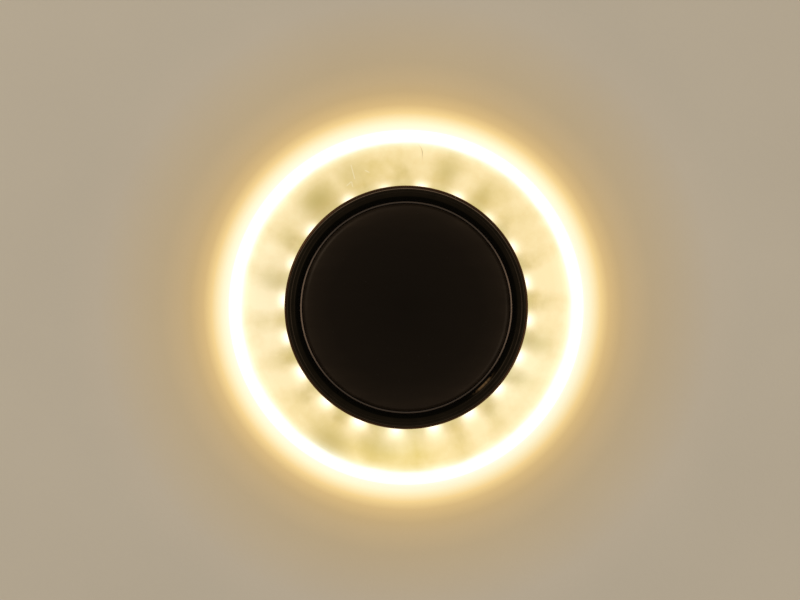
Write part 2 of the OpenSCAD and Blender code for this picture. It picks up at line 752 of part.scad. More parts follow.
module terminal_screws() color([0.76, 0.77, 0.8]) term_places()
    for (y = [-tower_y, tower_y]) translate([0, y, 0]) difference() {
        union() {
            bar(m25_r, term_z + tunnel_r + 0.1, term_z + sleeve_r + 1);
            bar(term_screw_r, term_z + sleeve_r + 0.6, cup_top + term_h - 1.5);
        }
        translate([-term_screw_r - 1, -0.3, cup_top + term_h - 2.4]) cube([2 * term_screw_r + 2, 0.6, 2]);
    }

module plate_screws() color([0.76, 0.77, 0.8]) for (i = [0:len(plate_xy) - 1])
    translate([plate_xy[i][0], plate_xy[i][1], 0]) {
        bar(plate_screw_r, cup_top - 2, cup_top + plate_post[i] + eps);
        translate([0, 0, cup_top + plate_post[i]]) pan_head(plate_head_r, 1.6);
    }

// Driver of the light ring

module driver_case() color([0.94, 0.94, 0.93]) difference() {
    union() {
        translate([0, driver_y, cup_top]) linear_extrude(height = driver_h) rounded(driver_l, driver_w, 2);
        for (s = [-1, 1]) translate([s * lug_x, lug_y, 0]) {
            bar(post_r, cup_top, cup_top + lug_t);
            translate([s > 0 ? -post_r - 1 : 0, -post_r, cup_top]) cube([post_r + 1, 2 * post_r, lug_t]);
        }
    }
    translate([0, driver_y, cup_top + driver_wall]) linear_extrude(height = driver_h)
        rounded(driver_l - 2 * driver_wall, driver_w - 2 * driver_wall, 1);
    for (s = [-1, 1]) translate([s * lug_x, lug_y, 0])
        bar(plate_screw_r + 0.1, cup_top - 1, cup_top + lug_t + 1);
    // Lead holes in the two ends
    for (s = [-1, 1]) translate([s * driver_l / 2, driver_y + 2, cup_top + driver_h * 0.45])
        rotate([0, 90, 0]) cylinder(r = 1.8, h = 6, center = true, $fn = 32);
}

lid_t = 1.6;

module driver_lid() color([0.92, 0.92, 0.91]) {
    z = cup_top + driver_h;
    translate([0, driver_y, z]) difference() {
        union() {
            linear_extrude(height = lid_t - 0.5) rounded(driver_l, driver_w, 2);
            linear_extrude(height = lid_t) rounded(driver_l - 1, driver_w - 1, 1.5);
            translate([0, 0, -1.6]) linear_extrude(height = 2)
                rounded(driver_l - 2 * driver_wall - 0.2, driver_w - 2 * driver_wall - 0.2, 0.9);
        }
        translate([0, 0, -2]) linear_extrude(height = 2)
            rounded(driver_l - 4 * driver_wall, driver_w - 4 * driver_wall, 0.8);
        // Grip grooves at the two ends of the lid
        for (s = [-1, 1], i = [0:3]) translate([s * (driver_l / 2 - 3 - i * 1.6), 0, lid_t])
            cube([0.7, driver_w - 7, 0.7], center = true);
    }
}

board_z = cup_top + driver_wall + 2;

module driver_board() color([0.25, 0.5, 0.28]) translate([0, driver_y, 0]) {
    inner_l = driver_l - 2 * driver_wall - 1;
    inner_w = driver_w - 2 * driver_wall - 1;
    translate([-inner_l / 2, -inner_w / 2, board_z]) cube([inner_l, inner_w, 1.2]);
    for (x = [-1, 1], y = [-1, 1]) translate([x * (inner_l / 2 - 2), y * (inner_w / 2 - 2), 0])
        bar(1.2, cup_top + driver_wall, board_z + eps);
    translate([-inner_l * 0.08, -inner_w * 0.3, board_z + 1.1])
        cube([inner_l * 0.27, inner_w * 0.6, driver_h - driver_wall - 5.4]);
    translate([-inner_l * 0.35, 0, 0]) bar(driver_w * 0.16, board_z + 1.1, cup_top + driver_h - 2);
    translate([inner_l * 0.38, -inner_w * 0.12, 0])
        bar(driver_w * 0.125, board_z + 1.1, cup_top + driver_h - 3);
}

module cable_grommet() color([0.1, 0.1, 0.11]) translate([0, grommet_y, 0]) rotate_extrude() polygon([
    [grommet_bore_r, holder_back - 0.9], [grommet_r + 0.6, holder_back - 0.9],
    [grommet_r + 1.1, holder_back - 0.4], [grommet_r + 1.1, holder_back],
    [grommet_r, holder_back], [grommet_r, cup_top], [grommet_r + 1.4, cup_top],
    [grommet_r + 1.4, cup_top + 0.8], [grommet_r + 0.7, cup_top + 1.6], [grommet_bore_r, cup_top + 1.6]
]);

module earth_screw() color([0.8, 0.66, 0.35]) translate([earth_x, grommet_y, 0]) {
    bar(2, holder_back - 0.8, cup_top + 1);
    difference() {
        translate([0, 0, cup_top]) cylinder(r = 4.2, h = 0.8, $fn = 48);
        for (a = [0:30:330]) rotate([0, 0, a]) translate([4.2, 0, 0]) bar(0.45, cup_top - 1, cup_top + 2);
    }
    translate([0, 0, cup_top + 0.8]) pan_head(3.4, 2.4);
}

// Lamp

module lamp_shell() color([0.2, 0.17, 0.13]) difference() {
    rotate_extrude() polygon(concat(
        [[lamp_r - lamp_rim_w, rim_z], [lamp_r - 0.15, rim_z], [lamp_r, rim_z + 0.15]],
        arc(lamp_r - 1.5, shoulder_z - 1.5, 1.5, 0, 90, 6),
        arc(hub_r + 0.8, shoulder_z + 0.8, 0.8, 270, 180, 4),
        arc(hub_r - 1.5, hub_top - 1.5, 1.5, 0, 90, 6),
        [
            [0, hub_top], [0, hub_top - lamp_wall], [hub_r - lamp_wall, hub_top - lamp_wall],
            [hub_r - lamp_wall, shoulder_z - lamp_wall], [lamp_r - lamp_wall, shoulder_z - lamp_wall],
            [lamp_r - lamp_wall, ledge_z], [lamp_r - lamp_rim_w, ledge_z]
        ]
    ));
    for (a = [90, 270]) rotate([0, 0, a]) translate([pin_r, 0, 0]) bar(neck_r, -2, shoulder_z + 2);
    // Vents round the shoulder, inside the holder's hole
    for (a = [0:20:340]) rotate([0, 0, a])
        translate([hub_r - 2, -0.8, shoulder_z + 3]) cube([4, 1.6, hub_h - 6.5]);
}

// Height of the lens's front at radius r, and the same for its inner face
function dome(r, inset) = lens_face + inset - lens_crown * (1 - pow(r / (lens_r - lens_edge_r), 2));

module lens_shape(inset) {
    e = lens_edge_r - inset;
    polygon(concat(
        [[lens_r - inset, ledge_z]],
        arc(lens_r - lens_edge_r, lens_face + lens_edge_r, e, 0, -90, 10),
        [for (i = [7:-1:0]) [i / 8 * (lens_r - lens_edge_r), dome(i / 8 * (lens_r - lens_edge_r), inset)]],
        [[0, ledge_z]]
    ));
}

module lamp_lens() color([0.14, 0.11, 0.08]) rotate_extrude() difference() {
    lens_shape(0);
    lens_shape(lens_wall);
}

lamp_board_z = shoulder_z - lamp_wall - lamp_board_t;

module lamp_board() color([0.85, 0.85, 0.83]) difference() {
    bar(lamp_r - lamp_wall - 0.1, lamp_board_z, lamp_board_z + lamp_board_t);
    for (a = [90, 270]) rotate([0, 0, a]) translate([pin_r, 0, 0])
        bar(neck_r + 1.5, lamp_board_z - 1, lamp_board_z + lamp_board_t + 1);
}

module lamp_leds() color([0.95, 0.85, 0.45]) for (c = [1, 0.5])
    for (i = [0:round(lamp_chip_count * c) - 1])
        rotate([0, 0, (i + 0.5) * 360 / round(lamp_chip_count * c)])
            translate([c * lamp_chip_r - chip_w / 2, -chip_l / 2, lamp_board_z - chip_t])
                cube([chip_w, chip_l, chip_t]);

module lamp_pins() color([0.83, 0.82, 0.78]) for (a = [90, 270])
    rotate([0, 0, a]) translate([pin_r, 0, 0]) rotate_extrude() polygon([
        [0, shoulder_z - lamp_wall - 0.6], [neck_r + 0.8, shoulder_z - lamp_wall - 0.6],
        [neck_r + 0.8, shoulder_z - lamp_wall], [neck_r, shoulder_z - lamp_wall],
        [neck_r, neck_top], [head_r, neck_top],
        [head_r, head_top - 0.5], [head_r - 0.5, head_top], [0, head_top]
    ]);

housing_cup();
seat_plate();
light_ring();
led_strip();
led_chips();
strip_resistors();
bezel_ring();
lampholder_body();
lampholder_cover();
contact_front();
contact_rear();
lampholder_screws();
lampholder_nuts();
bracket_left();
bracket_right();
bracket_rivets();
clip_pin_left();
clip_pin_right();
terminal_block();
terminal_sleeves();
terminal_screws();
plate_screws();
driver_case();
driver_lid();
driver_board();
cable_grommet();
earth_screw();
lamp_shell();
lamp_lens();
lamp_board();
lamp_leds();
lamp_pins();
clip_arm_left();
clip_pad_left();
torsion_spring_left();
clip_arm_right();
clip_pad_right();
torsion_spring_right();
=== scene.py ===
"""Looks of a recessed ceiling spotlight with a bayonet disc lamp and an edge-lit frosted ring.

The ceiling's underside is z = 0 and the lamp shines toward -Z. Sizes are in millimetres and
angles in degrees. They become metres and radians only where a mesh or a tree needs them.
"""

import logging
import math
from collections.abc import Iterable, Sequence
from dataclasses import dataclass, field
from enum import Enum
from functools import cached_property

import bmesh
import bpy
import numpy as np
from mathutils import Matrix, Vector


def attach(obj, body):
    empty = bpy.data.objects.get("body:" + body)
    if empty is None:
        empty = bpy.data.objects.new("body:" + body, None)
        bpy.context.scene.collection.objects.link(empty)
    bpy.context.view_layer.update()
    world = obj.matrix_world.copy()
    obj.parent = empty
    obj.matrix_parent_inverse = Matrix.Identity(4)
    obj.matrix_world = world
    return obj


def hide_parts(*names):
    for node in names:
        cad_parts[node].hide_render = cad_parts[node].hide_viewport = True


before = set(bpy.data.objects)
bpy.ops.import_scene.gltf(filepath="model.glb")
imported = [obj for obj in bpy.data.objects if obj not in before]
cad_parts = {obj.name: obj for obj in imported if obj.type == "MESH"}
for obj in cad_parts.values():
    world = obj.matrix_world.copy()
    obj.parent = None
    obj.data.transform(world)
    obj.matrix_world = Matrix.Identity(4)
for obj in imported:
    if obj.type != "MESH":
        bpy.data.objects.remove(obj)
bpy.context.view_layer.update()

MM = 0.001
LOG = logging.getLogger("spotlight")

Point = tuple[float, float, float]
Profile = list[tuple[float, float]]
Rings = list[list[Point]]
Places = list[tuple[Point, Point]]
Colour = tuple[float, float, float]
Stops = tuple[tuple[float, float], ...]
Gradient = Sequence[tuple[float, Colour]]
Socket = bpy.types.NodeSocket
Mesh = bpy.types.Mesh
Object = bpy.types.Object
Shape = bmesh.types.BMesh

# Sizes that more than one class needs

PLATE_BORE = 42.15
PLATE_FLAT = 58.2
PLATE_RIM = 63.5
PLATE_FRONT = -9.0
PLATE_SHOULDER = -4.2
BEZEL_BORE = 38.9
BEZEL_RIM = 43.0
BEZEL_FACE = -12.6
LAMP_RIM = 37.5
LENS_RIM = 36.8
CUP_TOP = 15.6
TERMINAL_Y = -21.6
CHIPS = 20
CHIP_PITCH = 17.75
STRIP_JOINT = 230.4
FIRST_CHIP = STRIP_JOINT + (360.0 - CHIP_PITCH * (CHIPS - 1)) / 2


# Node trees


class Graph:
    """A shader or geometry node tree under construction."""

    def __init__(self, tree: bpy.types.NodeTree) -> None:
        """Takes over a tree and empties it."""
        self.tree = tree
        tree.nodes.clear()

    def feed(self, socket: Socket, value: object) -> None:
        """Links a socket to an input, or writes a plain value there.

        Args:
            socket: The input to feed.
            value: An output socket, a number, a vector or a colour.
        """
        if isinstance(value, Socket):
            self.tree.links.new(value, socket)
            return
        if socket.type == "RGBA" and len(value) == 3:
            value = (*value, 1.0)
        socket.default_value = value

    def add(self, kind: str, inputs: dict[object, object] | None = None, **props: object) -> bpy.types.Node:
        """Adds a node.

        Args:
            kind: The node's type name.
            inputs: Values or sockets by input name or number.
            **props: Properties of the node, set before its inputs.

        Returns:
            The new node.
        """
        node = self.tree.nodes.new(kind)
        for key, value in props.items():
            setattr(node, key, value)
        for key, value in (inputs or {}).items():
            self.feed(node.inputs[key], value)
        return node

    def math(self, operation: str, *values: object, clamp: bool = False) -> Socket:
        """One Math node.

        Args:
            operation: The node's operation.
            *values: Its inputs in order, as numbers or sockets.
            clamp: True to keep the result in 0 to 1.

        Returns:
            The result's socket.
        """
        inputs = dict(enumerate(values))
        return self.add("ShaderNodeMath", inputs, operation=operation, use_clamp=clamp).outputs[0]

    def plus(self, a: object, b: object, clamp: bool = False) -> Socket:
        """The sum of two numbers."""
        return self.math("ADD", a, b, clamp=clamp)

    def minus(self, a: object, b: object) -> Socket:
        """The first number less the second."""
        return self.math("SUBTRACT", a, b)

    def times(self, a: object, b: object, clamp: bool = False) -> Socket:
        """The product of two numbers."""
        return self.math("MULTIPLY", a, b, clamp=clamp)

    def over(self, a: object, b: object) -> Socket:
        """The first number divided by the second."""
        return self.math("DIVIDE", a, b)

    def higher(self, a: object, b: object) -> Socket:
        """The higher of two numbers."""
        return self.math("MAXIMUM", a, b)

    def line(self, value: object, slope: object, base: object) -> Socket:
        """A number times a slope, plus a base."""
        return self.math("MULTIPLY_ADD", value, slope, base)

    def vector(self, x: object, y: object, z: object) -> Socket:
        """Three numbers joined into a vector."""
        return self.add("ShaderNodeCombineXYZ", {0: x, 1: y, 2: z}).outputs[0]

    def split(self, vector: Socket) -> tuple[Socket, Socket, Socket]:
        """The three numbers of a vector."""
        return tuple(self.add("ShaderNodeSeparateXYZ", {0: vector}).outputs)


class ShaderGraph(Graph):
    """A material's tree: its shader, and the patterns that the finishes are made of."""

    INPUTS = {
        "colour": "Base Color",
        "metal": "Metallic",
        "roughness": "Roughness",
        "gloss": "Specular IOR Level",
        "tint": "Specular Tint",
        "light": "Emission Color",
        "power": "Emission Strength",
        "relief": "Normal",
    }

    def __init__(self, tree: bpy.types.NodeTree) -> None:
        """Takes over a tree and sets its one shader there.

        Args:
            tree: The material's tree.
        """
        super().__init__(tree)
        self.shader = self.add("ShaderNodeBsdfPrincipled")
        self.output = self.add("ShaderNodeOutputMaterial", {"Surface": self.shader.outputs[0]})

    def give(self, **looks: object) -> None:
        """Sets the shader's inputs, each by its name in INPUTS."""
        for name, value in looks.items():
            self.feed(self.shader.inputs[self.INPUTS[name]], value)

    @cached_property
    def place(self) -> Socket:
        """The surface's own place on the object, in millimetres."""
        inputs = {0: self.add("ShaderNodeTexCoord").outputs["Object"], "Scale": 1.0 / MM}
        return self.add("ShaderNodeVectorMath", inputs, operation="SCALE").outputs[0]

    @cached_property
    def axes(self) -> tuple[Socket, Socket, Socket]:
        """The three numbers of the surface's place."""
        return self.split(self.place)

    @property
    def x(self) -> Socket:
        """The surface's place across."""
        return self.axes[0]

    @property
    def y(self) -> Socket:
        """The surface's place along the photograph's height, larger toward its lower edge."""
        return self.axes[1]

    @property
    def z(self) -> Socket:
        """The surface's height."""
        return self.axes[2]

    @cached_property
    def radius(self) -> Socket:
        """The surface's distance from the lamp's axis."""
        return self.math("SQRT", self.line(self.x, self.x, self.times(self.y, self.y)))

    @cached_property
    def degrees(self) -> Socket:
        """The surface's angle round the lamp's axis."""
        return self.times(self.math("ARCTAN2", self.y, self.x), 180.0 / math.pi)

    @cached_property
    def lower(self) -> Socket:
        """1 where the surface is lowest in the photograph's view, -1 where it is highest."""
        return self.over(self.y, self.radius)

    def stretched(self, scale: Point) -> Socket:
        """The surface's place with each axis scaled on its own."""
        return self.add("ShaderNodeVectorMath", {0: self.place, 1: scale}, operation="MULTIPLY").outputs[0]

    def circling(self, along: Socket) -> Socket:
        """A place in which noise draws rings round the lamp's axis, each at its own number along."""
        unit = self.over(1.0, self.higher(self.radius, 0.5))
        return self.vector(self.times(self.x, unit), self.times(self.y, unit), along)

    def noise(self, vector: Socket, scale: float, detail: float = 3.0, rough: float = 0.5) -> Socket:
        """Soft noise from 0 to 1, with features about 1 / scale apart."""
        inputs = {"Vector": vector, "Scale": scale, "Detail": detail, "Roughness": rough}
        return self.add("ShaderNodeTexNoise", inputs).outputs[0]

    def cells(self, vector: Socket, scale: float) -> Socket:
        """A random number from 0 to 1 for each cell of a broken pattern."""
        colour = self.add("ShaderNodeTexVoronoi", {"Vector": vector, "Scale": scale}).outputs["Color"]
        return self.split(colour)[0]

    def ramp(self, factor: Socket, stops: Gradient) -> Socket:
        """A colour that follows a number through a few stops.

        Args:
            factor: The number, 0 to 1.
            stops: Pairs of position and linear colour, in order.

        Returns:
            The colour's socket.
        """
        node = self.add("ShaderNodeValToRGB", {0: factor})
        ramp = node.color_ramp
        while len(ramp.elements) < len(stops):
            ramp.elements.new(0.5)
        for element, (position, colour) in zip(ramp.elements, stops):
            element.position = position
            element.color = (*colour, 1.0)
        return node.outputs[0]

    def mix(self, factor: object, a: object, b: object, blend: str = "MIX") -> Socket:
        """Two colours mixed, by the share of the second one."""
        inputs = {0: factor, 6: a, 7: b}
        return self.add("ShaderNodeMix", inputs, data_type="RGBA", blend_type=blend).outputs[2]

    def grey(self, value: Socket) -> Socket:
        """A number as a colour without hue."""
        return self.vector(value, value, value)

    def step(self, value: Socket, low: float, high: float, first: float = 0.0, last: float = 1.0) -> Socket:
        """A smooth change from the first number to the last, while a value rises from low to high."""
        inputs = {"Value": value, "From Min": low, "From Max": high, "To Min": first, "To Max": last}
        return self.add("ShaderNodeMapRange", inputs, interpolation_type="SMOOTHSTEP").outputs[0]

    def bell(self, value: object, centre: object, width: object) -> Socket:
        """A soft bump of height 1 round a value."""
        off = self.over(self.minus(value, centre), width)
        return self.math("EXPONENT", self.times(self.times(off, off), -1.0))

    def bump(self, height: Socket, depth: float, strength: float = 1.0) -> None:
        """Gives the shader a relief, from a height of 0 to 1 and its real depth."""
        inputs = {"Height": height, "Strength": strength, "Distance": depth * MM}
        self.give(relief=self.add("ShaderNodeBump", inputs).outputs[0])


class FormGraph(Graph):
    """A geometry tree with named inputs, which ends in a realized and finished mesh."""

    def __init__(self, name: str, sizes: dict[str, str]) -> None:
        """Starts the tree.

        Args:
            name: The tree's name.
            sizes: Kinds of socket by input name, besides the geometry and the finish.
        """
        super().__init__(bpy.data.node_groups.new(name, "GeometryNodeTree"))
        face = self.tree.interface
        for label, kind in {"Geometry": "Geometry", **sizes, "Finish": "Material"}.items():
            face.new_socket(name=label, in_out="INPUT", socket_type=f"NodeSocket{kind}")
        face.new_socket(name="Geometry", in_out="OUTPUT", socket_type="NodeSocketGeometry")
        self.given = self.add("NodeGroupInput").outputs

    def index(self) -> Socket:
        """The number of each point."""
        return self.add("GeometryNodeInputIndex").outputs[0]

    def polar(self, radius: Socket, angle: Socket, height: Socket) -> Socket:
        """A place from its distance, its angle in radians and its height."""
        x, y = (self.times(radius, self.math(side, angle)) for side in ("COSINE", "SINE"))
        return self.vector(x, y, height)

    def rotation(self, euler: Socket) -> Socket:
        """A rotation from three angles."""
        return self.add("FunctionNodeEulerToRotation", {0: euler}).outputs[0]

    def moved(self, geometry: Socket, position: Socket) -> Socket:
        """A geometry with its points moved."""
        return self.add("GeometryNodeSetPosition", {"Geometry": geometry, "Position": position}).outputs[0]

    def copies(self, points: Socket, rotation: Socket) -> Socket:
        """The input piece set on each point.

        Args:
            points: The points.
            rotation: The rotation of each copy.

        Returns:
            The copies, not yet realized.
        """
        inputs = {"Object": self.given["Piece"]}
        piece = self.add("GeometryNodeObjectInfo", inputs, transform_space="ORIGINAL").outputs["Geometry"]
        inputs = {"Points": points, "Instance": piece, "Rotation": rotation}
        return self.add("GeometryNodeInstanceOnPoints", inputs).outputs[0]

    def end(self, geometry: Socket) -> bpy.types.NodeTree:
        """Realizes and finishes the geometry, and closes the tree.

        Args:
            geometry: What was made.

        Returns:
            The tree.
        """
        real = self.add("GeometryNodeRealizeInstances", {0: geometry}).outputs[0]
        inputs = {"Geometry": real, "Material": self.given["Finish"]}
        done = self.add("GeometryNodeSetMaterial", inputs).outputs[0]
        self.add("NodeGroupOutput", {0: done})
        return self.tree


class Recipe(Enum):
    """The geometry trees that make what turns, repeats or follows a path."""

    TURNED = "turned_round_the_axis"
    PLACED = "placed_one_by_one"
    RINGED = "ringed_round_the_axis"
    WIRED = "wire_along_a_path"

    def tree(self) -> bpy.types.NodeTree:
        """The recipe's tree, built at its first use.

        Returns:
            The tree.
        """
        builders = {
            Recipe.TURNED: self._turned,
            Recipe.PLACED: self._placed,
            Recipe.RINGED: self._ringed,
            Recipe.WIRED: self._wired,
        }
        return bpy.data.node_groups.get(self.value) or builders[self]()

    def _turned(self) -> bpy.types.NodeTree:
        """Turns the input's points, radius and height, round the Z axis.

        Returns:
            The tree.
        """
        g = FormGraph(self.value, {"Segments": "Int", "Weld": "Float"})
        source, segments = g.given["Geometry"], g.given["Segments"]
        count = g.add("GeometryNodeAttributeDomainSize", {0: source}, component="MESH").outputs["Point Count"]
        inputs = {"Vertices X": g.plus(segments, 1.0), "Vertices Y": count}
        grid = g.add("GeometryNodeMeshGrid", inputs).outputs[0]
        index = g.index()
        column = g.math("FLOOR", g.over(g.plus(index, 0.5), count))
        row = g.minus(index, g.times(column, count))
        inputs = {"Geometry": source, "Value": g.add("GeometryNodeInputPosition").outputs[0], "Index": row}
        sample = g.add("GeometryNodeSampleIndex", inputs, data_type="FLOAT_VECTOR", domain="POINT")
        radius, _, height = g.split(sample.outputs[0])
        angle = g.times(column, g.over(math.tau, segments))
        weld = {"Geometry": g.moved(grid, g.polar(radius, angle, height)), "Distance": g.given["Weld"]}
        return g.end(g.add("GeometryNodeMergeByDistance", weld).outputs[0])

    def _placed(self) -> bpy.types.NodeTree:
        """Sets a piece on each input point, turned as the point says and spun at random.

        Returns:
            The tree.
        """
        g = FormGraph(self.value, {"Piece": "Object", "Spin": "Float", "Seed": "Int"})
        turn = g.add("GeometryNodeInputNamedAttribute", {"Name": "turn"}, data_type="FLOAT_VECTOR").outputs[0]
        random = g.add("FunctionNodeRandomValue", data_type="FLOAT")
        low, high = [s for s in random.inputs if s.name in ("Min", "Max") and s.type == "VALUE"][:2]
        for socket, value in ((low, 0.0), (high, g.given["Spin"]), (random.inputs["Seed"], g.given["Seed"])):
            g.feed(socket, value)
        chance = next(s for s in random.outputs if s.type == "VALUE")
        spin = g.rotation(g.vector(0.0, 0.0, chance))
        turned = g.add("FunctionNodeRotateRotation", {0: g.rotation(turn), 1: spin}, rotation_space="LOCAL")
        return g.end(g.copies(g.given["Geometry"], turned.outputs[0]))

    def _ringed(self) -> bpy.types.NodeTree:
        """Sets copies of a piece round the Z axis, each facing outward.

        Returns:
            The tree.
        """
        floats = dict.fromkeys(("First", "Pitch", "Radius", "Height"), "Float")
        g = FormGraph(self.value, {"Piece": "Object", "Count": "Int", **floats})
        angle = g.line(g.index(), g.given["Pitch"], g.given["First"])
        points = g.add("GeometryNodePoints", {"Count": g.given["Count"]}).outputs[0]
        points = g.moved(points, g.polar(g.given["Radius"], angle, g.given["Height"]))
        return g.end(g.copies(points, g.rotation(g.vector(0.0, 0.0, angle))))

    def _wired(self) -> bpy.types.NodeTree:
        """Draws a round wire along the input's edges.

        Returns:
            The tree.
        """
        g = FormGraph(self.value, {"Wire": "Float", "Sides": "Int"})
        curve = g.add("GeometryNodeMeshToCurve", {0: g.given["Geometry"]}).outputs[0]
        inputs = {"Resolution": g.given["Sides"], "Radius": g.given["Wire"]}
        section = g.add("GeometryNodeCurvePrimitiveCircle", inputs, mode="RADIUS").outputs[0]
        inputs = {"Curve": curve, "Profile Curve": section, "Fill Caps": True}
        return g.end(g.add("GeometryNodeCurveToMesh", inputs).outputs[0])


# Finishes


class Grain(Enum):
    """Which way the fine lines of a metal run."""

    NONE = (1.1, 1.1, 1.1)
    ALONG_X = (0.1, 3.2, 3.2)
    ALONG_Y = (3.2, 0.1, 3.2)
    ALONG_Z = (3.2, 3.2, 0.1)
    TURNED = (0.0, 0.0, 0.0)


@dataclass(frozen=True)
class Finish:
    """What every finish has: a name, a base colour and a roughness."""

    name: str
    colour: Colour
    roughness: float

    def material(self) -> bpy.types.Material:
        """The finish's material, built at its first use.

        Returns:
            The material.
        """
        known = bpy.data.materials.get(self.name)
        if known:
            return known
        material = bpy.data.materials.new(self.name)
        material.use_nodes = True
        material.diffuse_color = (*self.colour, 1.0)
        self.dress(ShaderGraph(material.node_tree))
        return material

    def dress(self, g: ShaderGraph) -> None:
        """Gives the shader its colour, gloss and relief."""
        raise NotImplementedError

    def toned(self, g: ShaderGraph, rise: Socket, tones: Stops) -> Socket:
        """The base colour made darker or lighter, from tone to tone as a number rises."""
        return g.ramp(rise, [(at, tuple(min(c * tone, 1.0) for c in self.colour)) for at, tone in tones])

    def between(
        self, g: ShaderGraph, rise: Socket, dark: float, light: float, start: float = 0.3, end: float = 0.7
    ) -> Socket:
        """The base colour, from a dark to a light tone as a number rises."""
        return self.toned(g, rise, ((start, dark), (end, light)))

    def uneven(
        self, g: ShaderGraph, rise: Socket, start: float, end: float, first: float, last: float
    ) -> Socket:
        """The roughness, moved from one offset to another as a number rises."""
        return g.step(rise, start, end, self.roughness + first, self.roughness + last)


@dataclass(frozen=True)
class Metal(Finish):
    """Rolled, pressed, drawn or turned metal."""

    grain: Grain = Grain.NONE
    spangle: float = 0.0
    relief: float = 0.012
    contrast: float = 0.16
    # Painted shade: inside this radius and below the height after it, the metal turns near black; 0 leaves it
    # out.
    shade_inside: float = 0.0
    shade_below: float = 2.6
    black: Colour = (0.015, 0.012, 0.008)

    def dress(self, g: ShaderGraph) -> None:
        """Fine lines, faint clouds, the crystal flowers of a zinc coat where it has them, and painted shade
        inside the cup.

        Args:
            g: The material's tree.
        """
        if self.grain is Grain.TURNED:
            along = g.circling(g.times(g.line(g.z, 0.8, g.radius), 5.0))
        else:
            along = g.stretched(self.grain.value)
        lines = g.noise(along, 1.0, 4.0)
        shade = g.line(g.noise(g.place, 0.11, 4.0), 0.45, g.times(lines, 0.55))
        if self.spangle:
            shade = g.line(g.minus(g.cells(g.place, 0.42), 0.5), self.spangle, shade)
        colour = self.between(g, shade, 1.0 - self.contrast, 1.0 + self.contrast * 0.5, 0.28, 0.72)
        # Painted shade: the cup's inside turns near black where the deep groove round the lamp lies in shade.
        if self.shade_inside:
            inside = g.step(g.radius, self.shade_inside, self.shade_inside + 0.1, 1.0, 0.0)
            painted_shade = g.times(inside, g.step(g.z, self.shade_below, self.shade_below + 0.2, 1.0, 0.0))
            colour = g.mix(painted_shade, colour, self.black)
        g.give(colour=colour, roughness=self.uneven(g, shade, 0.3, 0.75, 0.1, -0.05), metal=1.0)
        g.bump(lines, self.relief)


@dataclass(frozen=True)
class Moulding(Finish):
    """Moulded plastic with a spark-eroded grain and a little dust."""

    grain_scale: float = 2.6
    relief: float = 0.02
    gloss: float = 0.5

    def dress(self, g: ShaderGraph) -> None:
        """Fine pits, slow flow marks and a slightly uneven gloss.

        Args:
            g: The material's tree.
        """
        pits = g.noise(g.place, self.grain_scale, 3.0, 0.6)
        flow = g.noise(g.stretched((0.05, 0.05, 0.02)), 1.6, 4.0)
        shade = g.line(flow, 0.7, g.times(pits, 0.3))
        colour = self.highlighted(g, self.between(g, shade, 0.9, 1.05))
        g.give(colour=colour, roughness=self.uneven(g, pits, 0.25, 0.75, -0.06, 0.1), gloss=self.gloss)
        g.bump(pits, self.relief)

    def highlighted(self, g: ShaderGraph, plain: Socket) -> Socket:
        """The colour with a painted highlight, of which a plain moulding has none."""
        return plain


@dataclass(frozen=True)
class LampCase(Moulding):
    """The lamp's dark case, with a painted highlight along its rim."""

    rim: float = LAMP_RIM
    rim_z: float = -10.2
    faint: Colour = (0.03, 0.02, 0.012)
    pale: Colour = (0.2, 0.13, 0.082)

    def highlighted(self, g: ShaderGraph, plain: Socket) -> Socket:
        """The moulding's colour with a painted highlight, a pale line at the rim, which is widest at the two
        sides.

        Args:
            g: The material's tree.
            plain: The moulding's colour.

        Returns:
            The colour with its painted highlight.
        """
        # Painted highlight: pale along the front of the rim, strongest at the two sides.
        side = g.step(g.math("ABSOLUTE", g.lower), 0.1, 0.8, 1.0, 0.12)
        front = g.step(g.z, self.rim_z, self.rim_z + 0.5, 1.0, 0.0)
        rim_highlight = g.times(g.step(g.radius, self.rim - 0.75, self.rim - 0.3), front)
        return g.mix(rim_highlight, plain, g.mix(side, self.faint, self.pale))


@dataclass(frozen=True)
class Rubber(Finish):
    """Soft rubber, matt, with a pale bloom on it."""

    def dress(self, g: ShaderGraph) -> None:
        """A dusty bloom over a fine grain.

        Args:
            g: The material's tree.
        """
        grain = g.noise(g.place, 3.5, 4.0, 0.65)
        bloom = g.noise(g.place, 0.22, 4.0, 0.6)
        colour = self.between(g, bloom, 0.75, 1.7, 0.35, 0.75)
        g.give(colour=colour, roughness=self.uneven(g, grain, 0.2, 0.8, -0.1, 0.1), gloss=0.35)
        g.bump(grain, 0.03)


@dataclass(frozen=True)
class Laminate(Finish):
    """Circuit board: a lacquered ground with tracks and bright pads."""

    track: Colour = (0.1, 0.26, 0.09)
    pad: Colour = (0.62, 0.58, 0.5)
    scale: float = 0.3

    def dress(self, g: ShaderGraph) -> None:
        """Tracks that follow square cells, with a pad in some of them.

        Args:
            g: The material's tree.
        """
        inputs = {"Vector": g.vector(g.x, g.y, 0.0), "Scale": self.scale, "Randomness": 0.75}
        near, edge = (
            g.add("ShaderNodeTexVoronoi", inputs, feature=feature, distance="CHEBYCHEV").outputs["Distance"]
            for feature in ("F1", "F2")
        )
        tracks = g.step(g.minus(edge, near), 0.1, 0.16)
        pads = g.step(near, 0.12, 0.15, 1.0, 0.0)
        colour = g.mix(pads, g.mix(tracks, self.colour, self.track), self.pad)
        weave = g.noise(g.stretched((3.0, 3.0, 3.0)), 1.0, 2.0)
        g.give(colour=colour, roughness=self.uneven(g, weave, 0.2, 0.8, -0.05, 0.1))
        g.bump(g.line(tracks, 0.8, g.times(weave, 0.2)), 0.035)


